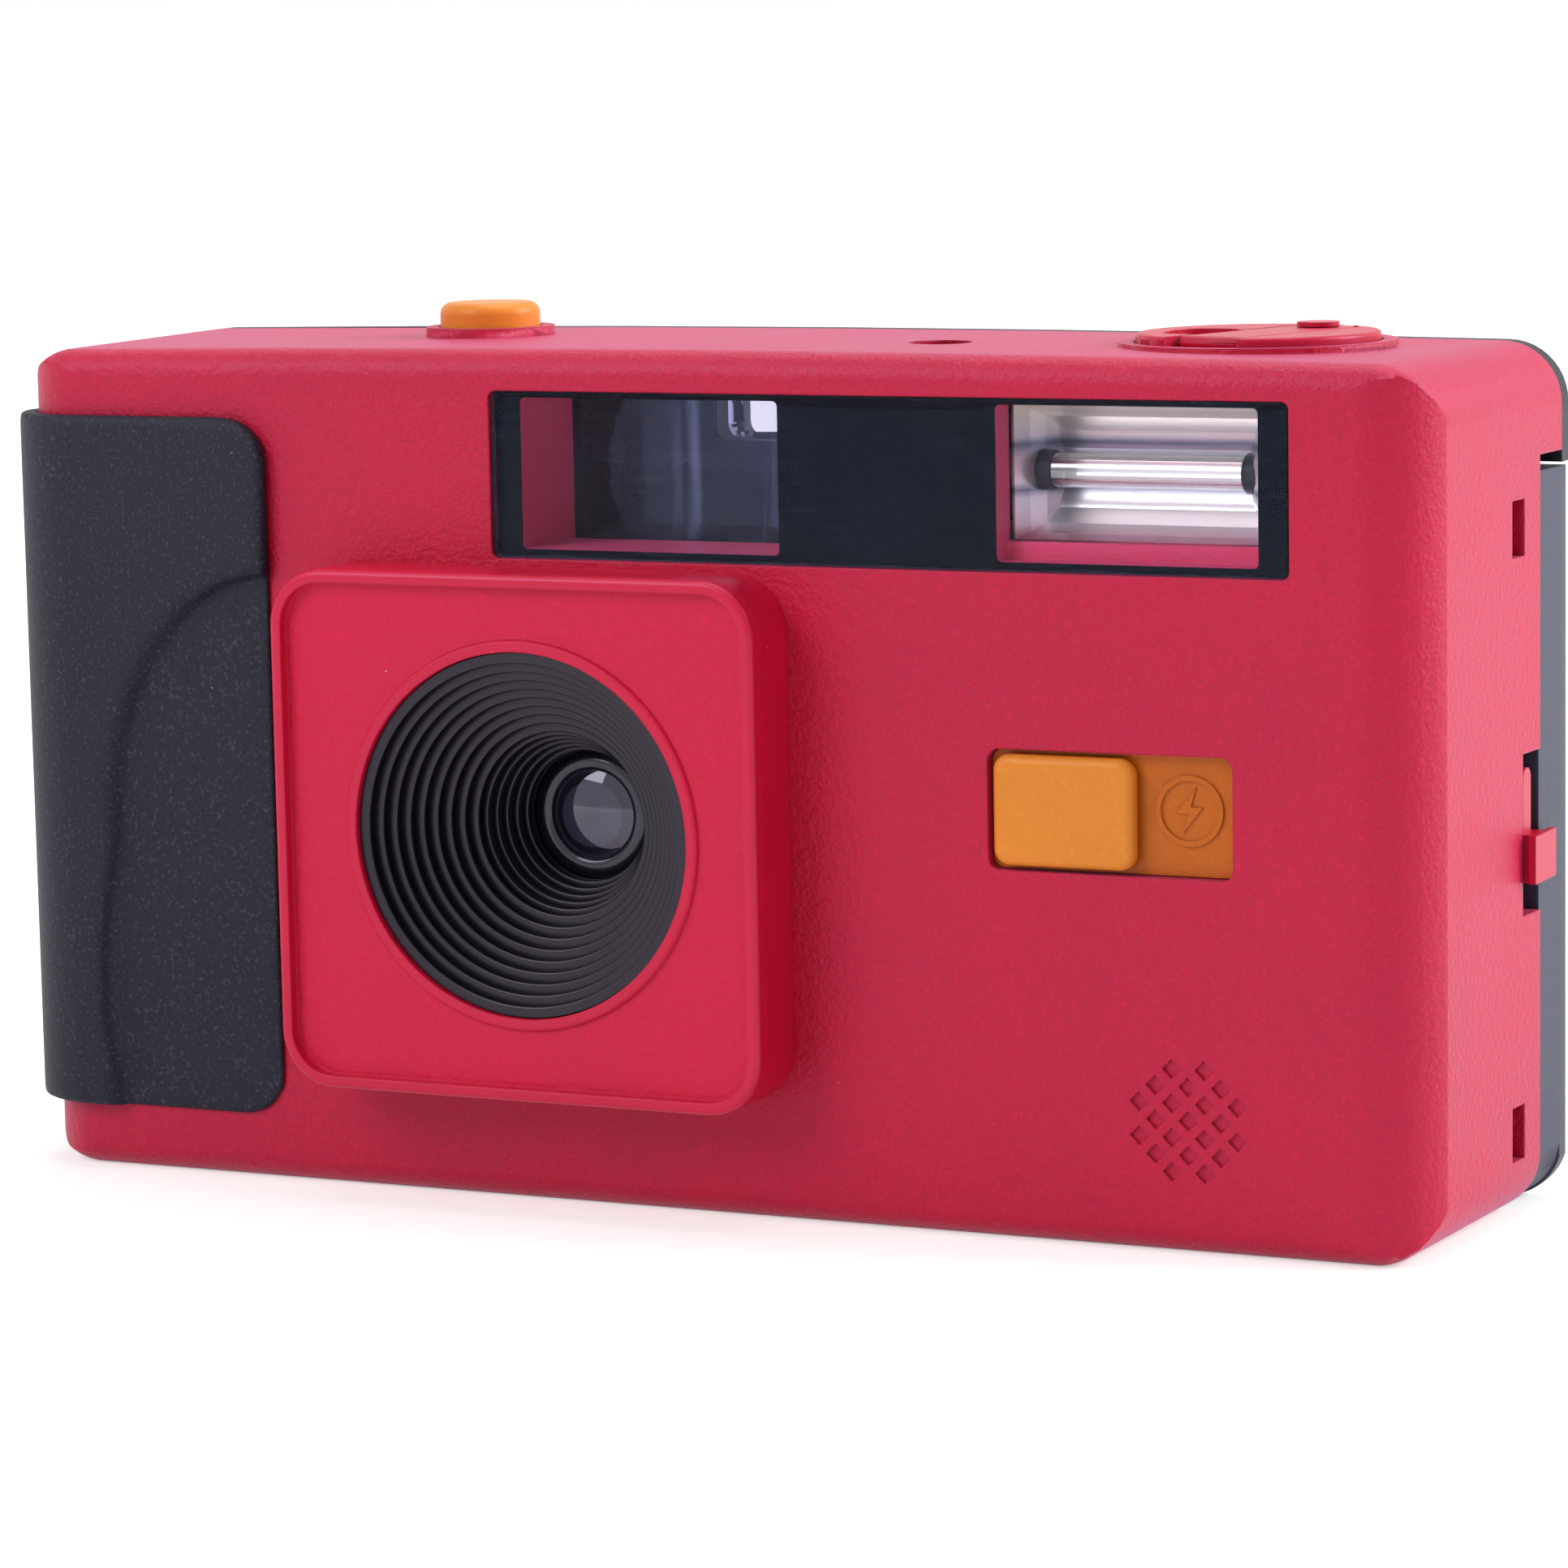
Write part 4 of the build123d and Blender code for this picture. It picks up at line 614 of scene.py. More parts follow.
class LightBaffle(bpy.types.PropertyGroup):
    """Sizes of the stepped baffle in front of the lens."""

    mouth: length_field("Mouth radius", "Radius of the widest step", 13.45 * MM)
    waist: length_field("Waist radius", "Radius where the fine steps begin", 6.9 * MM)
    throat: length_field("Throat radius", "Radius round the lens", 4.95 * MM)
    coarse: bpy.props.IntProperty(
        name="Coarse steps", description="Steps between the mouth and the waist", default=9
    )
    fine: bpy.props.IntProperty(
        name="Fine steps", description="Steps between the waist and the throat", default=5
    )
    undercut: length_field(
        "Undercut", "How far each step's foot reaches under its lip", 0.26 * MM
    )


class GripSizes(bpy.types.PropertyGroup):
    """Sizes of the finger hollow in the grip."""

    sink: length_field("Sink", "Depth of the hollow", 1.0 * MM)
    slope: length_field("Slope", "Width of the soft slope at the hollow's edge", 0.9 * MM)
    reach: length_field("Reach", "Width of the hollow from the grip's right edge", 14.4 * MM)
    spring: length_field("Spring", "Height where the hollow's edge begins to curve", 28.0 * MM)
    crest: length_field("Crest", "Height of the top of the hollow", 46.6 * MM)


class StudioSizes(bpy.types.PropertyGroup):
    """Sizes of the studio round the camera."""

    focal: bpy.props.FloatProperty(
        name="Focal length", description="Focal length of the view, in millimetres", default=128.65
    )
    azimuth: angle_field("Azimuth", "Where the view is taken from, round the camera", 25.145)
    elevation: angle_field("Elevation", "How far above level the view is taken from", 8.025)
    roll: angle_field("Roll", "Turn of the view about its own axis", -1.075)
    station: bpy.props.FloatVectorProperty(
        name="Station",
        description="Where the view is taken from",
        subtype="TRANSLATION",
        unit="LENGTH",
        size=3,
        default=(179.14 * MM, -376.68 * MM, 89.25 * MM),
    )
    room: bpy.props.FloatProperty(
        name="Room light", description="Strength of the even light from all round", default=0.42
    )


def select_only(piece):
    bpy.ops.object.select_all(action="DESELECT")
    piece.select_set(True)
    bpy.context.view_layer.objects.active = piece


def add_by(operator, name, **settings):
    """Adds an object by one of the add operators and names it."""
    bpy.ops.object.select_all(action="DESELECT")
    operator(**settings)
    piece = bpy.context.view_layer.objects.active
    piece.name = name
    return piece


def apply_modifier(piece, kind, **settings):
    """Adds a modifier to a piece and applies it."""
    select_only(piece)
    modifier = piece.modifiers.new(kind.lower(), kind)
    for key, value in settings.items():
        setattr(modifier, key, value)
    bpy.ops.object.modifier_apply(modifier=modifier.name)


def even_shading(piece, angle):
    """Smooths a piece over its curves and keeps its flat faces flat."""
    select_only(piece)
    bpy.ops.object.shade_smooth_by_angle(angle=math.radians(angle))
    apply_modifier(piece, "WEIGHTED_NORMAL", keep_sharp=True, weight=100)


def body_of_node(node):
    """The body that a CAD node belongs to."""
    for body, nodes in frame["record"]["behaviour"]["bodies"].items():
        if node in nodes:
            return body
    raise KeyError(node)


def fit_out(piece, node, material):
    """Gives a piece its finish and the body of a CAD node."""
    piece.data.materials.clear()
    piece.data.materials.append(material)
    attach(piece, body_of_node(node))


def stand_for(piece, node, material):
    """Gives a piece its finish and the place of a CAD node."""
    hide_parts(node)
    fit_out(piece, node, material)


def copy_of(node, name):
    """A joined-up copy of a CAD node that stands by itself."""
    select_only(frame["nodes"][node])
    bpy.ops.object.duplicate()
    piece = bpy.context.view_layer.objects.active
    piece.name = name
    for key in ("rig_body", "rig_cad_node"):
        if key in piece:
            del piece[key]
    piece.parent = None
    piece.matrix_world = Matrix.Identity(4)
    bpy.ops.object.mode_set(mode="EDIT")
    bpy.ops.mesh.select_all(action="SELECT")
    bpy.ops.mesh.remove_doubles(threshold=MESH_GAP)
    bpy.ops.mesh.dissolve_limited(angle_limit=FLAT_BEND)
    bpy.ops.object.mode_set(mode="OBJECT")
    return piece


def dress(node, material, name=None, angle=20.0):
    """Replaces a CAD node by a joined-up copy of it, smooth over its curves, in one finish."""
    piece = copy_of(node, name or node + "_dressed")
    even_shading(piece, angle)
    stand_for(piece, node, material)


def dress_all(nodes, material):
    """Dresses several CAD nodes in one finish."""
    for node in nodes:
        dress(node, material)


def chamfer(piece, width):
    """Breaks the sharp edges of a plain piece."""
    flat = math.radians(1.0)
    sharp = math.radians(40.0)
    select_only(piece)
    bpy.ops.object.mode_set(mode="EDIT")
    bpy.ops.mesh.select_all(action="SELECT")
    bpy.ops.mesh.dissolve_limited(angle_limit=flat)
    bpy.ops.object.mode_set(mode="OBJECT")
    apply_modifier(
        piece, "BEVEL", width=width, segments=2, limit_method="ANGLE", angle_limit=sharp
    )


def turn(name, profile, centre, axis, steps):
    """Runs a closed profile of radius and station round an axis, as on a lathe."""
    along = Vector(axis)
    out = Vector((0.0, 0.0, 1.0)) if abs(along.z) < 0.5 else Vector((1.0, 0.0, 0.0))
    spots = [centre + out * radius + along * station for radius, station in profile]
    piece = add_by(bpy.ops.mesh.primitive_plane_add, name, size=0.1 * MM, location=spots[0])
    bpy.ops.object.transform_apply(location=True)
    bpy.ops.object.mode_set(mode="EDIT")
    bpy.ops.mesh.select_mode(type="VERT")
    bpy.ops.mesh.select_all(action="SELECT")
    bpy.ops.mesh.merge(type="CENTER")
    for here, there in zip(spots, spots[1:] + spots[:1]):
        bpy.ops.mesh.extrude_vertices_move(TRANSFORM_OT_translate={"value": there - here})
    bpy.ops.mesh.select_all(action="SELECT")
    bpy.ops.mesh.remove_doubles(threshold=TURNED_GAP)
    bpy.ops.mesh.spin(steps=steps, angle=math.tau, center=centre, axis=along)
    bpy.ops.mesh.select_all(action="SELECT")
    bpy.ops.mesh.remove_doubles(threshold=TURNED_GAP)
    bpy.ops.mesh.normals_make_consistent(inside=False)
    bpy.ops.object.mode_set(mode="OBJECT")
    return piece


def pick(piece, test):
    """Selects the vertices of the piece in edit mode that pass a test of their place."""
    bpy.ops.object.mode_set(mode="OBJECT")
    for vertex in piece.data.vertices:
        vertex.select = test(vertex.co)
    bpy.ops.object.mode_set(mode="EDIT")


def baffle_profile(sizes, depth):
    """Radius and station of the baffle's section, from mouth to throat and back outside."""
    start = -5.0 * MM
    waist_station = 2.0 * MM
    fine_end = 6.4 * MM
    fine_undercut = 0.12 * MM
    foot_drop = 0.1 * MM
    wall = 1.25 * MM
    waist_wall = 1.3 * MM
    mouth = sizes.mouth + 0.05 * MM
    flange = sizes.mouth + 1.75 * MM
    flange_front = start + 1.3 * MM
    flange_back = start + 2.1 * MM
    steps = [(mouth, start)]
    runs = (
        (sizes.coarse, sizes.mouth, sizes.waist, start, waist_station, sizes.undercut),
        (sizes.fine, sizes.waist, sizes.throat, waist_station, fine_end, fine_undercut),
    )
    for count, wide, narrow, begin, end, undercut in runs:
        for index in range(count):
            lip = wide - (index + 1) / count * (wide - narrow)
            station = begin + index / count * (end - begin)
            following = begin + (index + 1) / count * (end - begin)
            steps += [(lip + out * MM, station + back * MM) for out, back in LIP_SECTION]
            steps.append((lip + undercut, following + foot_drop))
    steps += [
        (sizes.throat, fine_end + foot_drop),
        (sizes.throat, depth),
        (sizes.throat + wall, depth),
        (sizes.waist + waist_wall, waist_station),
        (sizes.mouth - wall, flange_back),
        (flange, flange_back),
        (flange, flange_front),
        (mouth, flange_front),
    ]
    return steps


class CAMERA_OT_red_mouldings(bpy.types.Operator):
    """The red casing, lens surround, latch, battery door and rewind dial."""

    bl_idname = "film_camera.red_mouldings"
    bl_label = "Red mouldings"

    def execute(self, context):
        colour = tuple(context.scene.camera_colours.casing)
        dress("front_shell", casing_red("eroded_red", colour), "casing_front")
        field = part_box("lens_bezel")[0].y + 0.9 * MM
        surround = surround_red("surround_red", tone(colour, 1.2), field)
        dress("lens_bezel", surround, "lens_surround")
        small = moulded(
            "fine_red", colour, rough=0.38, grain=4200.0, depth=0.15, edge=0.12 * MM, sheen=CAST
        )
        nodes = ("latch_slide", "battery_door", "rewind_disc", "crank_lever", "crank_knob")
        dress_all(nodes, small)
        return {"FINISHED"}


class CAMERA_OT_orange_controls(bpy.types.Operator):
    """The shutter button, the switch and the bed that it slides on."""

    bl_idname = "film_camera.orange_controls"
    bl_label = "Orange controls"

    def execute(self, context):
        satin = moulded(
            "satin_orange",
            tuple(context.scene.camera_colours.controls),
            rough=0.4,
            grain=4600.0,
            depth=0.12,
            edge=0.25 * MM,
            flecks=0.1,
            sheen=WARM,
        )
        dress_all(("shutter_button", "flash_switch_knob"), satin)
        bed = moulded(
            "bed_orange",
            srgb(194, 98, 20),
            rough=0.34,
            grain=4600.0,
            depth=0.08,
            edge=0.1 * MM,
            gloss=0.3,
            flecks=0.1,
            sheen=WARM,
        )
        dress("switch_bed", bed, angle=18.0)
        return {"FINISHED"}


class CAMERA_OT_light_baffle(bpy.types.Operator):
    """The stepped baffle, turned from its section, and the ring that holds the lens."""

    bl_idname = "film_camera.light_baffle"
    bl_label = "Light baffle"

    def execute(self, context):
        sizes = context.scene.light_baffle
        middle = middle_of("front_lens")
        centre = Vector((middle.x, FRONT_FACE_Y, middle.z))
        axis = (0.0, 1.0, 0.0)
        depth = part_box("baffle_cone")[1].y - FRONT_FACE_Y
        black = turned_black("baffle_black", srgb(9, 10, 18))
        cone = turn("baffle_steps", baffle_profile(sizes, depth), centre, axis, steps=160)
        even_shading(cone, angle=50.0)
        stand_for(cone, "baffle_cone", black)
        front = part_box("lens_retainer")[0].y - FRONT_FACE_Y
        profile = [(radius * MM, front + station * MM) for radius, station in KEEPER_SECTION]
        ring = turn("lens_keeper", profile, centre, axis, steps=128)
        even_shading(ring, angle=60.0)
        keeper = moulded(
            "keeper_black",
            srgb(20, 20, 28),
            rough=0.16,
            grain=5200.0,
            depth=0.03,
            edge=0.05 * MM,
            gloss=0.6,
            flecks=0.1,
        )
        stand_for(ring, "lens_retainer", keeper)
        return {"FINISHED"}


class CAMERA_OT_black_mouldings(bpy.types.Operator):
    """The film frame and the other black mouldings."""

    bl_idname = "film_camera.black_mouldings"
    bl_label = "Black mouldings"

    def execute(self, context):
        colour = tuple(context.scene.camera_colours.film_frame)
        barrel = moulded(
            "barrel_black", srgb(16, 16, 20), rough=0.4, grain=4200.0, depth=0.06, edge=0.05 * MM
        )
        dress("lens_barrel", barrel)
        nodes = (
            "chassis",
            "viewfinder_tunnel",
            "battery_sleeve",
            "take_up_spool",
            "sprocket_shaft",
            "rewind_bush",
            "rewind_fork",
            "thumbwheel",
            "rewind_release_button",
            "release_bar",
        )
        dress_all(nodes, moulded("frame_black", colour, rough=0.5, grain=3000.0))
        return {"FINISHED"}


class CAMERA_OT_grip_and_back(bpy.types.Operator):
    """The soft grip cover, the hinged back and its foam."""

    bl_idname = "film_camera.grip_and_back"
    bl_label = "Grip and back"

    def execute(self, context):
        colours = context.scene.camera_colours
        grip = copy_of("grip_cover", "grip_cover_dressed")
        apply_modifier(grip, "REMESH", mode="VOXEL", voxel_size=0.3 * MM)
        self.hollow(grip, context.scene.grip_sizes)
        apply_modifier(grip, "SMOOTH", factor=0.5, iterations=15)
        bpy.ops.object.shade_smooth()
        # The light specks in the grip's grain are painted glints.
        soft = moulded(
            "soft_grip",
            tuple(colours.grip),
            rough=0.56,
            grain=8200.0,
            depth=1.0,
            edge=0.4 * MM,
            gloss=0.3,
            pepper=0.32,
            glint=srgb(104, 102, 122),
        )
        stand_for(grip, "grip_cover", soft)
        slate = moulded("slate_back", tuple(colours.door), rough=0.48, grain=3000.0, depth=0.35)
        dress("back_door", slate)
        dress("door_light_seal", foam("foam_seal", srgb(20, 20, 22)))
        return {"FINISHED"}

    def hollow(self, grip, sizes):
        """Presses a finger hollow into the front, edged by a quarter oval over a straight."""
        low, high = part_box("grip_cover")
        face = low.y
        skin = 0.05 * MM
        lean_share = 0.03
        for vertex in grip.data.vertices:
            spot = vertex.co
            if spot.y > face + sizes.sink + skin:
                continue
            rise = max(0.0, spot.z - sizes.spring) / (sizes.crest - sizes.spring)
            if rise >= 1.0:
                continue
            lean = max(0.0, sizes.spring - spot.z) * lean_share
            crease = high.x - sizes.reach * math.sqrt(1.0 - rise**2) - lean
            part = min(1.0, max(0.0, (spot.x - crease) / sizes.slope))
            drop = sizes.sink * part * part * (3.0 - 2.0 * part)
            spot.y = max(spot.y, face + drop)


class CAMERA_OT_glass(bpy.types.Operator):
    """The clear plate, its printed mask, the lenses and the tube."""

    bl_idname = "film_camera.glass"
    bl_label = "Glass and windows"

    def execute(self, context):
        plate = copy_of("window_panel", "window_plate")
        chamfer(plate, 0.12 * MM)
        even_shading(plate, angle=60.0)
        sheet = clear("clear_plate", srgb(206, 214, 240), 0.0, bend=1.16)
        stand_for(plate, "window_panel", sheet)
        print_black = tuple(context.scene.camera_colours.print_black)
        dress("window_mask", printed_mask("mask_print", print_black))
        self.taking_lens()
        dress("rear_lens", coated_glass("coated_lens", srgb(226, 226, 240)), angle=40.0)
        # The finder glass gets painted reflection in faint upright streaks.
        finder = clear("finder_glass", srgb(140, 146, 196), 0.02, bend=1.3, streaks=0.1)
        dress("viewfinder_front_lens", finder, angle=50.0)
        shade = (0.8, 0.79, 0.88, 1.0)
        eyepiece = lens_coat("eyepiece_glass", srgb(172, 170, 204), 1.45, shade, 0.03)
        dress("viewfinder_eyepiece", eyepiece, angle=50.0)
        dress("flash_tube", clear("xenon_tube", srgb(250, 248, 255), 0.16, bend=1.5), angle=50.0)
        dress("film_check_window", clear("check_window", srgb(70, 72, 78), 0.45))
        return {"FINISHED"}

    def taking_lens(self):
        """The front lens: a dome before, and behind it a dish inside a flat rim."""
        low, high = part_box("front_lens")
        middle = (low + high) / 2
        centre = Vector((middle.x, low.y, middle.z))
        radius = (high.x - low.x) / 2
        sag = 1.1 * MM
        ball = (radius**2 + sag**2) / (2 * sag)
        dome_steps = 24
        profile = []
        for index in range(dome_steps + 1):
            part = radius * index / dome_steps
            profile.append((part, ball - math.sqrt(ball**2 - part**2)))
        back = high.y - low.y
        dish = 2.5 * MM
        cup = 3.6 * MM
        dish_steps = 12
        floor = back - (cup - math.sqrt(cup**2 - dish**2))
        profile.append((radius, back))
        profile.append((dish + 0.05 * MM, back))
        for index in range(dish_steps + 1):
            part = dish * (1 - index / dish_steps)
            profile.append((part, floor + cup - math.sqrt(cup**2 - part**2) if part else floor))
        lens = turn("taking_lens", profile, centre, (0.0, 1.0, 0.0), steps=96)
        even_shading(lens, angle=25.0)
        stand_for(lens, "front_lens", deep_glass("violet_coated", centre, dish))


class CAMERA_OT_metal_parts(bpy.types.Operator):
    """Screws, pins, springs, contacts and blades."""

    bl_idname = "film_camera.metal_parts"
    bl_label = "Metal parts"

    def execute(self, context):
        steel = brushed("plated_steel", srgb(176, 176, 174))
        fixings = ("case_screws", "bezel_screws", "door_hinge_pin", "crank_hinge_pin")
        dress_all(fixings + ("flash_tube_caps",), steel)
        spring = brushed("spring_strip", srgb(190, 186, 176), rough=0.24)
        springs = ("button_leaf_spring", "pressure_plate_spring")
        dress_all(springs + ("battery_contact_top", "battery_door_contact"), spring)
        blade = moulded(
            "blackened_sheet",
            srgb(22, 22, 24),
            rough=0.38,
            grain=5000.0,
            depth=0.06,
            edge=0.05 * MM,
        )
        dress_all(("aperture_plate", "shutter_blade", "pressure_plate"), blade)
        return {"FINISHED"}


class CAMERA_OT_flash_trough(bpy.types.Operator):
    """The faceted trough of the flash, and the dark sleeves on the ends of its tube."""

    bl_idname = "film_camera.flash_trough"
    bl_label = "Flash trough"

    def execute(self, context):
        low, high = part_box("flash_reflector")
        wall = 0.4 * MM
        left, right = low.x + wall, high.x - wall
        foot, top = low.z + wall, high.z - wall
        trough = self.lining(left, right, foot, top, low.y)
        stand_for(trough, "flash_reflector", silver_trough("flash_silver", foot, top))
        self.sleeves(left, right)
        return {"FINISHED"}

    def lining(self, left, right, foot, top, mouth):
        """A frame of edges drawn back in steps, closed behind, then given its thickness."""
        near = 0.1 * MM
        behind = mouth + 0.3 * MM
        end_push = 0.9 * MM
        end_reach = abs(right - left) * 0.2
        centre = Vector(((left + right) / 2, mouth, (foot + top) / 2))
        piece = add_by(
            bpy.ops.mesh.primitive_plane_add,
            "flash_trough",
            size=1.0,
            location=centre,
            rotation=(math.pi / 2, 0.0, 0.0),
        )
        piece.scale = (right - left, top - foot, 1.0)
        bpy.ops.object.transform_apply(location=True, rotation=True, scale=True)
        bpy.ops.object.mode_set(mode="EDIT")
        bpy.ops.mesh.select_mode(type="VERT")
        bpy.ops.mesh.select_all(action="SELECT")
        bpy.ops.mesh.delete(type="ONLY_FACE")
        for side in (left, right):
            pick(piece, lambda spot: abs(spot.x - side) < near)
            bpy.ops.mesh.subdivide(number_cuts=1)
        bpy.ops.mesh.select_all(action="SELECT")
        before = (1.0, 1.0)
        for drop, wide, tall in TROUGH_DRAWS:
            move = {"value": (0.0, drop * MM, 0.0)}
            bpy.ops.mesh.extrude_edges_move(TRANSFORM_OT_translate=move)
            ratio = (wide / before[0], 1.0, tall / before[1])
            bpy.ops.transform.resize(value=ratio, center_override=centre)
            before = (wide, tall)
        bpy.ops.mesh.edge_face_add()
        for side, push in ((left, end_push), (right, -end_push)):
            pick(
                piece,
                lambda spot: abs(spot.z - centre.z) < near
                and abs(spot.x - side) < end_reach
                and spot.y > behind,
            )
            bpy.ops.transform.translate(value=(push, 0.0, 0.0))
        bpy.ops.mesh.select_all(action="SELECT")
        bpy.ops.mesh.normals_make_consistent(inside=True)
        bpy.ops.object.mode_set(mode="OBJECT")
        apply_modifier(piece, "SOLIDIFY", thickness=0.3 * MM, offset=-1.0)
        return piece

    def sleeves(self, left, right):
        """Two short dark sleeves, the second a copy of the first."""
        axis = middle_of("flash_tube")
        low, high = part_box("flash_tube")
        inset = 1.0 * MM
        spread = right - left - 3.3 * MM
        radius = ((high.z - low.z) / 2 + 0.06 * MM) * 1.12
        profile = [(radius * part, station * MM) for part, station in SLEEVE_SECTION]
        rubber = moulded(
            "sleeve_rubber", srgb(30, 28, 42), rough=0.5, grain=5200.0, depth=0.1, edge=0.1 * MM
        )
        centre = Vector((left + inset, axis.y, axis.z))
        first = turn("tube_sleeve_left", profile, centre, (1.0, 0.0, 0.0), steps=48)
        even_shading(first, angle=40.0)
        select_only(first)
        bpy.ops.object.duplicate()
        second = bpy.context.view_layer.objects.active
        second.name = "tube_sleeve_right"
        second.location = (spread, 0.0, 0.0)
        bpy.ops.object.transform_apply(location=True)
        for piece in (first, second):
            fit_out(piece, "flash_tube", rubber)


class CAMERA_OT_electrics(bpy.types.Operator):
    """The flash board, its capacitor and transformer, and the counter dial with its numbers."""

    bl_idname = "film_camera.electrics"
    bl_label = "Electrics and counter"

    def execute(self, context):
        dress("flash_board", circuit_board("board_green", srgb(30, 84, 44)))
        wrap = moulded("shrunk_sleeve", srgb(20, 22, 34), rough=0.28, depth=0.08)
        dress("flash_capacitor", wrap)
        copper = brushed("wound_copper", srgb(186, 118, 62), rough=0.35, streak=5200.0, depth=0.5)
        dress("flash_transformer", copper)
        white = moulded("dial_white", srgb(226, 226, 220), rough=0.4, grain=4200.0, depth=0.08)
        dress("frame_counter_dial", white)
        self.numbers()
        return {"FINISHED"}

    def numbers(self):
        """The frame numbers, printed round the dial to stand upright under the counter's hole."""
        low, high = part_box("frame_counter_dial")
        centre = (low + high) / 2
        ring = 4.4 * MM
        hole = math.atan2(-2.6, 3.6)
        lift = 0.012 * MM
        ink = moulded(
            "dial_ink", srgb(24, 24, 26), rough=0.4, grain=4200.0, depth=0.05, flecks=0.0
        )
        for index, label in enumerate(COUNTER_LABELS):
            angle = math.tau * index / len(COUNTER_LABELS)
            piece = add_by(bpy.ops.object.text_add, "counter_mark_" + label)
            piece.data.body = label
            piece.data.size = 1.7 * MM
            piece.data.extrude = 0.01 * MM
            piece.data.align_x = "CENTER"
            piece.data.align_y = "CENTER"
            bpy.ops.object.convert(target="MESH")
            piece = bpy.context.view_layer.objects.active
            across = centre.x + ring * math.cos(hole + angle)
            deep = centre.y + ring * math.sin(hole + angle)
            piece.location = (across, deep, high.z + lift)
            piece.rotation_euler = (0.0, 0.0, math.pi + angle)
            bpy.ops.object.transform_apply(location=True, rotation=True, scale=True)
            fit_out(piece, "frame_counter_dial", ink)


class CAMERA_OT_studio(bpy.types.Operator):
    """The pale floor, the soft lights and the view."""

    bl_idname = "film_camera.studio"
    bl_label = "Studio"

    def execute(self, context):
        self.floor()
        self.lights()
        self.room(context)
        self.view(context)
        context.scene.view_settings.view_transform = "Standard"
        return {"FINISHED"}

    def floor(self):
        """A matt floor that glows a little to the view, and more so far from the camera."""
        place = (0.0, 20.0, -0.02 * MM)
        floor = add_by(
            bpy.ops.mesh.primitive_plane_add, "studio_floor", size=60.0, location=place
        )
        bpy.ops.object.transform_apply(location=True)
        finish = Finish("studio_white")
        matt = finish.add("ShaderNodeBsdfDiffuse", {}, {"Color": (0.8, 0.8, 0.8, 1.0)})
        inputs = {0: finish.place()}
        span = finish.add("ShaderNodeVectorMath", {"operation": "LENGTH"}, inputs, "Value")
        far = finish.ramp(span, 0.12, 0.5)
        paper = finish.blend(far, (0.46, 0.46, 0.46, 1.0), (0.74, 0.74, 0.74, 1.0))
        lift = finish.add("ShaderNodeEmission", {}, {"Color": paper, "Strength": 1.0})
        both = finish.add("ShaderNodeAddShader", {}, {0: matt, 1: lift})
        mixed = finish.add("ShaderNodeMixShader", {}, {0: finish.seen(), 1: matt, 2: both})
        floor.data.materials.append(finish.close(mixed))

    def lights(self):
        target = Vector((0.0, 0.0, 0.03))
        for name, place, size, power in LAMPS:
            lamp = add_by(bpy.ops.object.light_add, name, type="AREA", location=place)
            lamp.data.shape = "SQUARE"
            lamp.data.size = size
            lamp.data.energy = power
            aim = target - Vector(place)
            lamp.rotation_euler = aim.to_track_quat("-Z", "Y").to_euler()

    def room(self, context):
        """Even light from all round, which looks plain white to the view."""
        world = bpy.data.worlds.new("studio_room")
        context.scene.world = world
        world.use_nodes = True
        air = Graph(world.node_tree)
        even = context.scene.studio_sizes.room
        strength = air.seen() * (1.0 - even) + even
        back = air.add("ShaderNodeBackground", {}, {"Color": WHITE, "Strength": strength})
        out = world.node_tree.nodes.new("ShaderNodeOutputWorld")
        world.node_tree.links.new(back.socket, out.inputs["Surface"])

    def view(self, context):
        sizes = context.scene.studio_sizes
        view = add_by(bpy.ops.object.camera_add, "studio_view")
        view.data.lens = sizes.focal
        view.data.sensor_width = 36.0
        view.data.clip_start = 0.01
        view.data.clip_end = 200.0
        turned = Matrix.Rotation(sizes.azimuth, 4, "Z")
        aim = turned @ Matrix.Rotation(math.pi / 2 - sizes.elevation, 4, "X")
        roll = Matrix.Rotation(sizes.roll, 4, "Z")
        view.matrix_world = Matrix.Translation(sizes.station) @ aim @ roll
        context.scene.camera = view


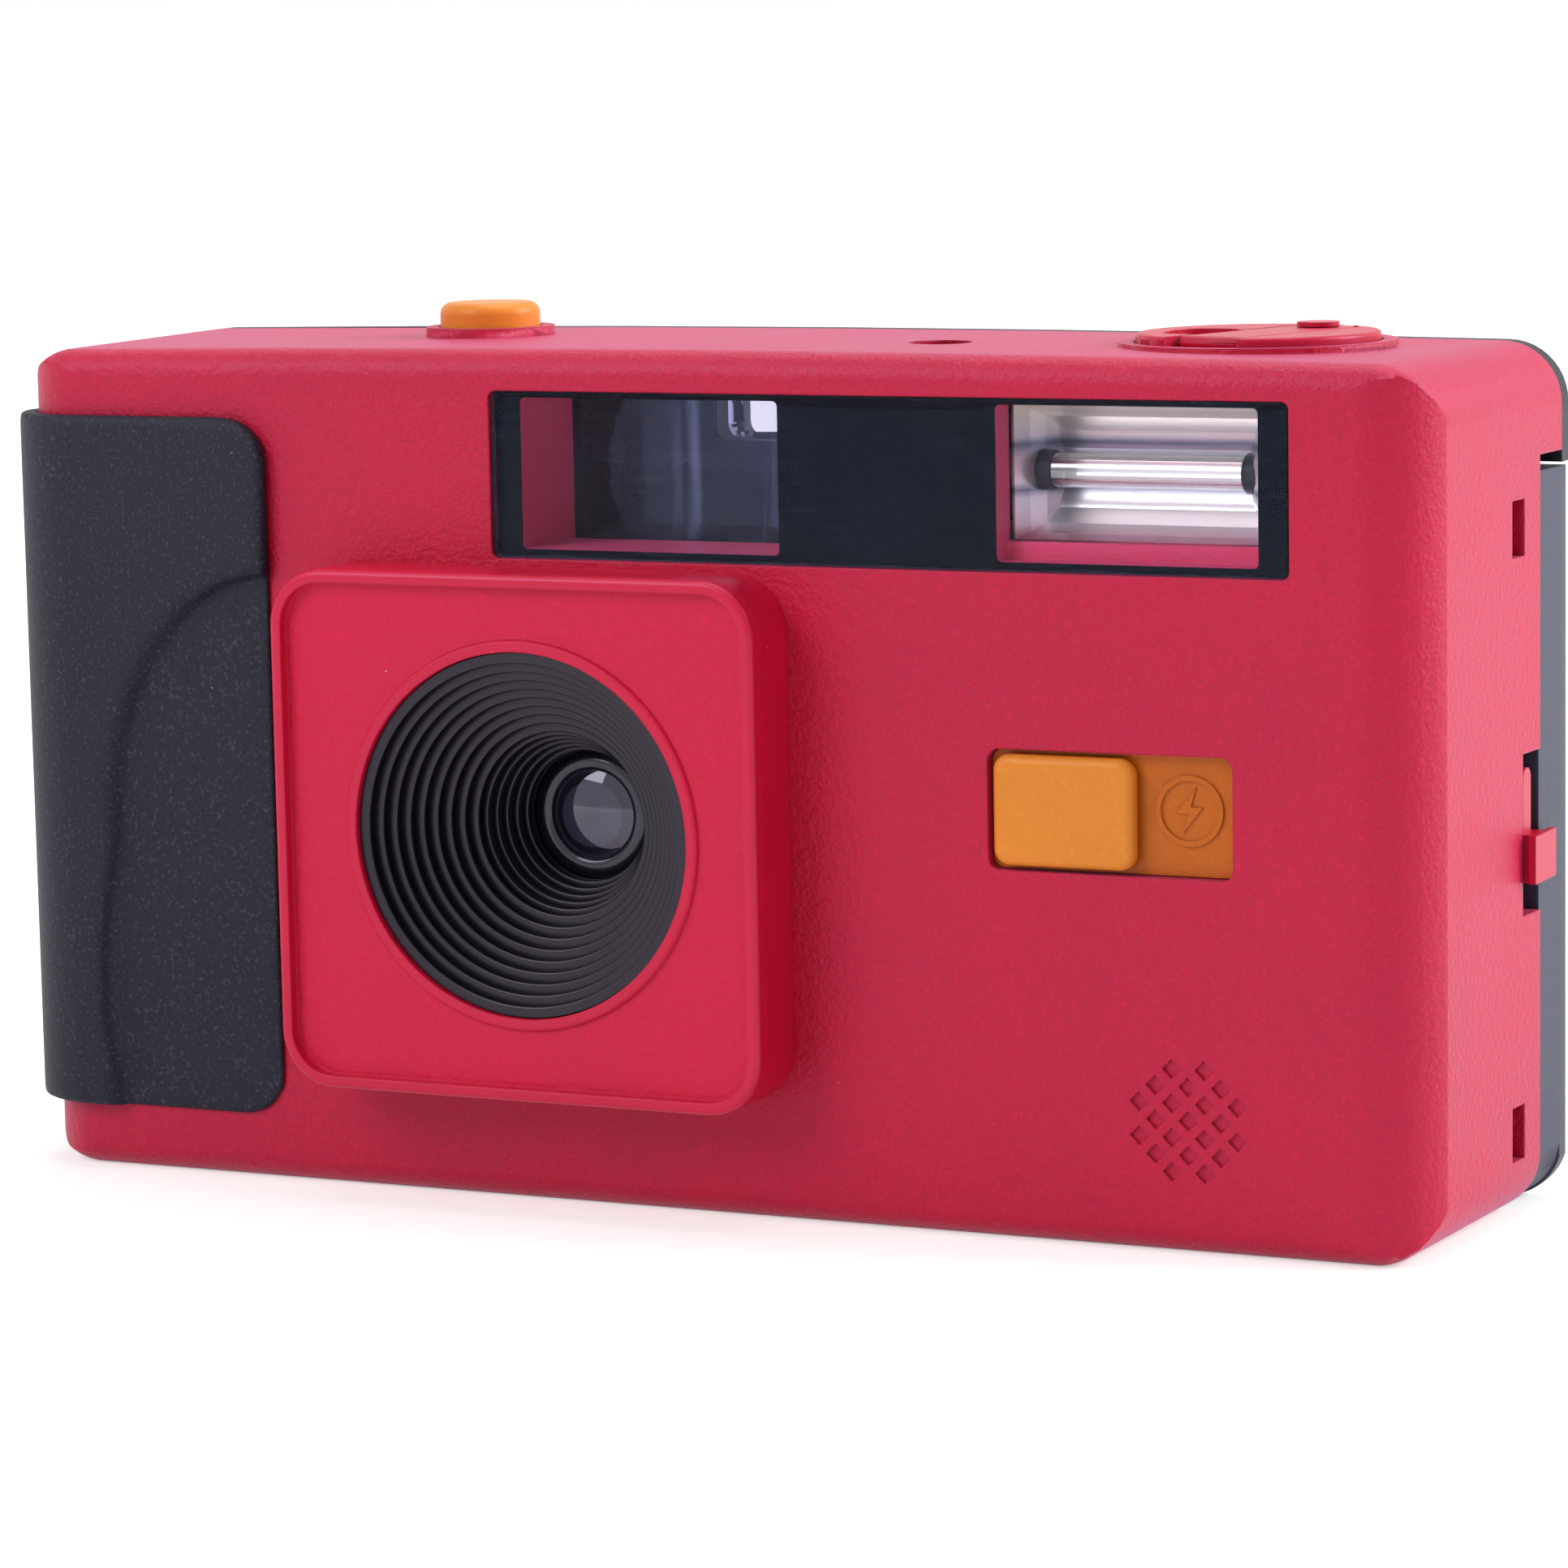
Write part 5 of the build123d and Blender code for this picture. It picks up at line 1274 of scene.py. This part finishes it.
STEPS = (
    CAMERA_OT_red_mouldings,
    CAMERA_OT_orange_controls,
    CAMERA_OT_light_baffle,
    CAMERA_OT_black_mouldings,
    CAMERA_OT_grip_and_back,
    CAMERA_OT_glass,
    CAMERA_OT_metal_parts,
    CAMERA_OT_flash_trough,
    CAMERA_OT_electrics,
    CAMERA_OT_studio,
)


class CAMERA_PT_panel(bpy.types.Panel):
    """Lists the steps that dress the film camera, and their sizes and colours."""

    bl_idname = "CAMERA_PT_panel"
    bl_label = "Film camera"
    bl_space_type = "VIEW_3D"
    bl_region_type = "UI"
    bl_category = "Film camera"

    def draw(self, context):
        scene = context.scene
        groups = (scene.camera_colours, scene.light_baffle, scene.grip_sizes, scene.studio_sizes)
        for group in groups:
            for key in group.__annotations__:
                self.layout.prop(group, key)
        for step in STEPS:
            self.layout.operator(step.bl_idname)


CLASSES = (CameraColours, LightBaffle, GripSizes, StudioSizes) + STEPS + (CAMERA_PT_panel,)


def register():
    for kind in CLASSES:
        bpy.utils.register_class(kind)
    bpy.types.Scene.camera_colours = bpy.props.PointerProperty(type=CameraColours)
    bpy.types.Scene.light_baffle = bpy.props.PointerProperty(type=LightBaffle)
    bpy.types.Scene.grip_sizes = bpy.props.PointerProperty(type=GripSizes)
    bpy.types.Scene.studio_sizes = bpy.props.PointerProperty(type=StudioSizes)


def unregister():
    del bpy.types.Scene.studio_sizes
    del bpy.types.Scene.grip_sizes
    del bpy.types.Scene.light_baffle
    del bpy.types.Scene.camera_colours
    for kind in reversed(CLASSES):
        bpy.utils.unregister_class(kind)


def main():
    register()
    bpy.ops.film_camera.red_mouldings()
    bpy.ops.film_camera.orange_controls()
    bpy.ops.film_camera.light_baffle()
    bpy.ops.film_camera.black_mouldings()
    bpy.ops.film_camera.grip_and_back()
    bpy.ops.film_camera.glass()
    bpy.ops.film_camera.metal_parts()
    bpy.ops.film_camera.flash_trough()
    bpy.ops.film_camera.electrics()
    bpy.ops.film_camera.studio()


if __name__ == "__main__":
    main()
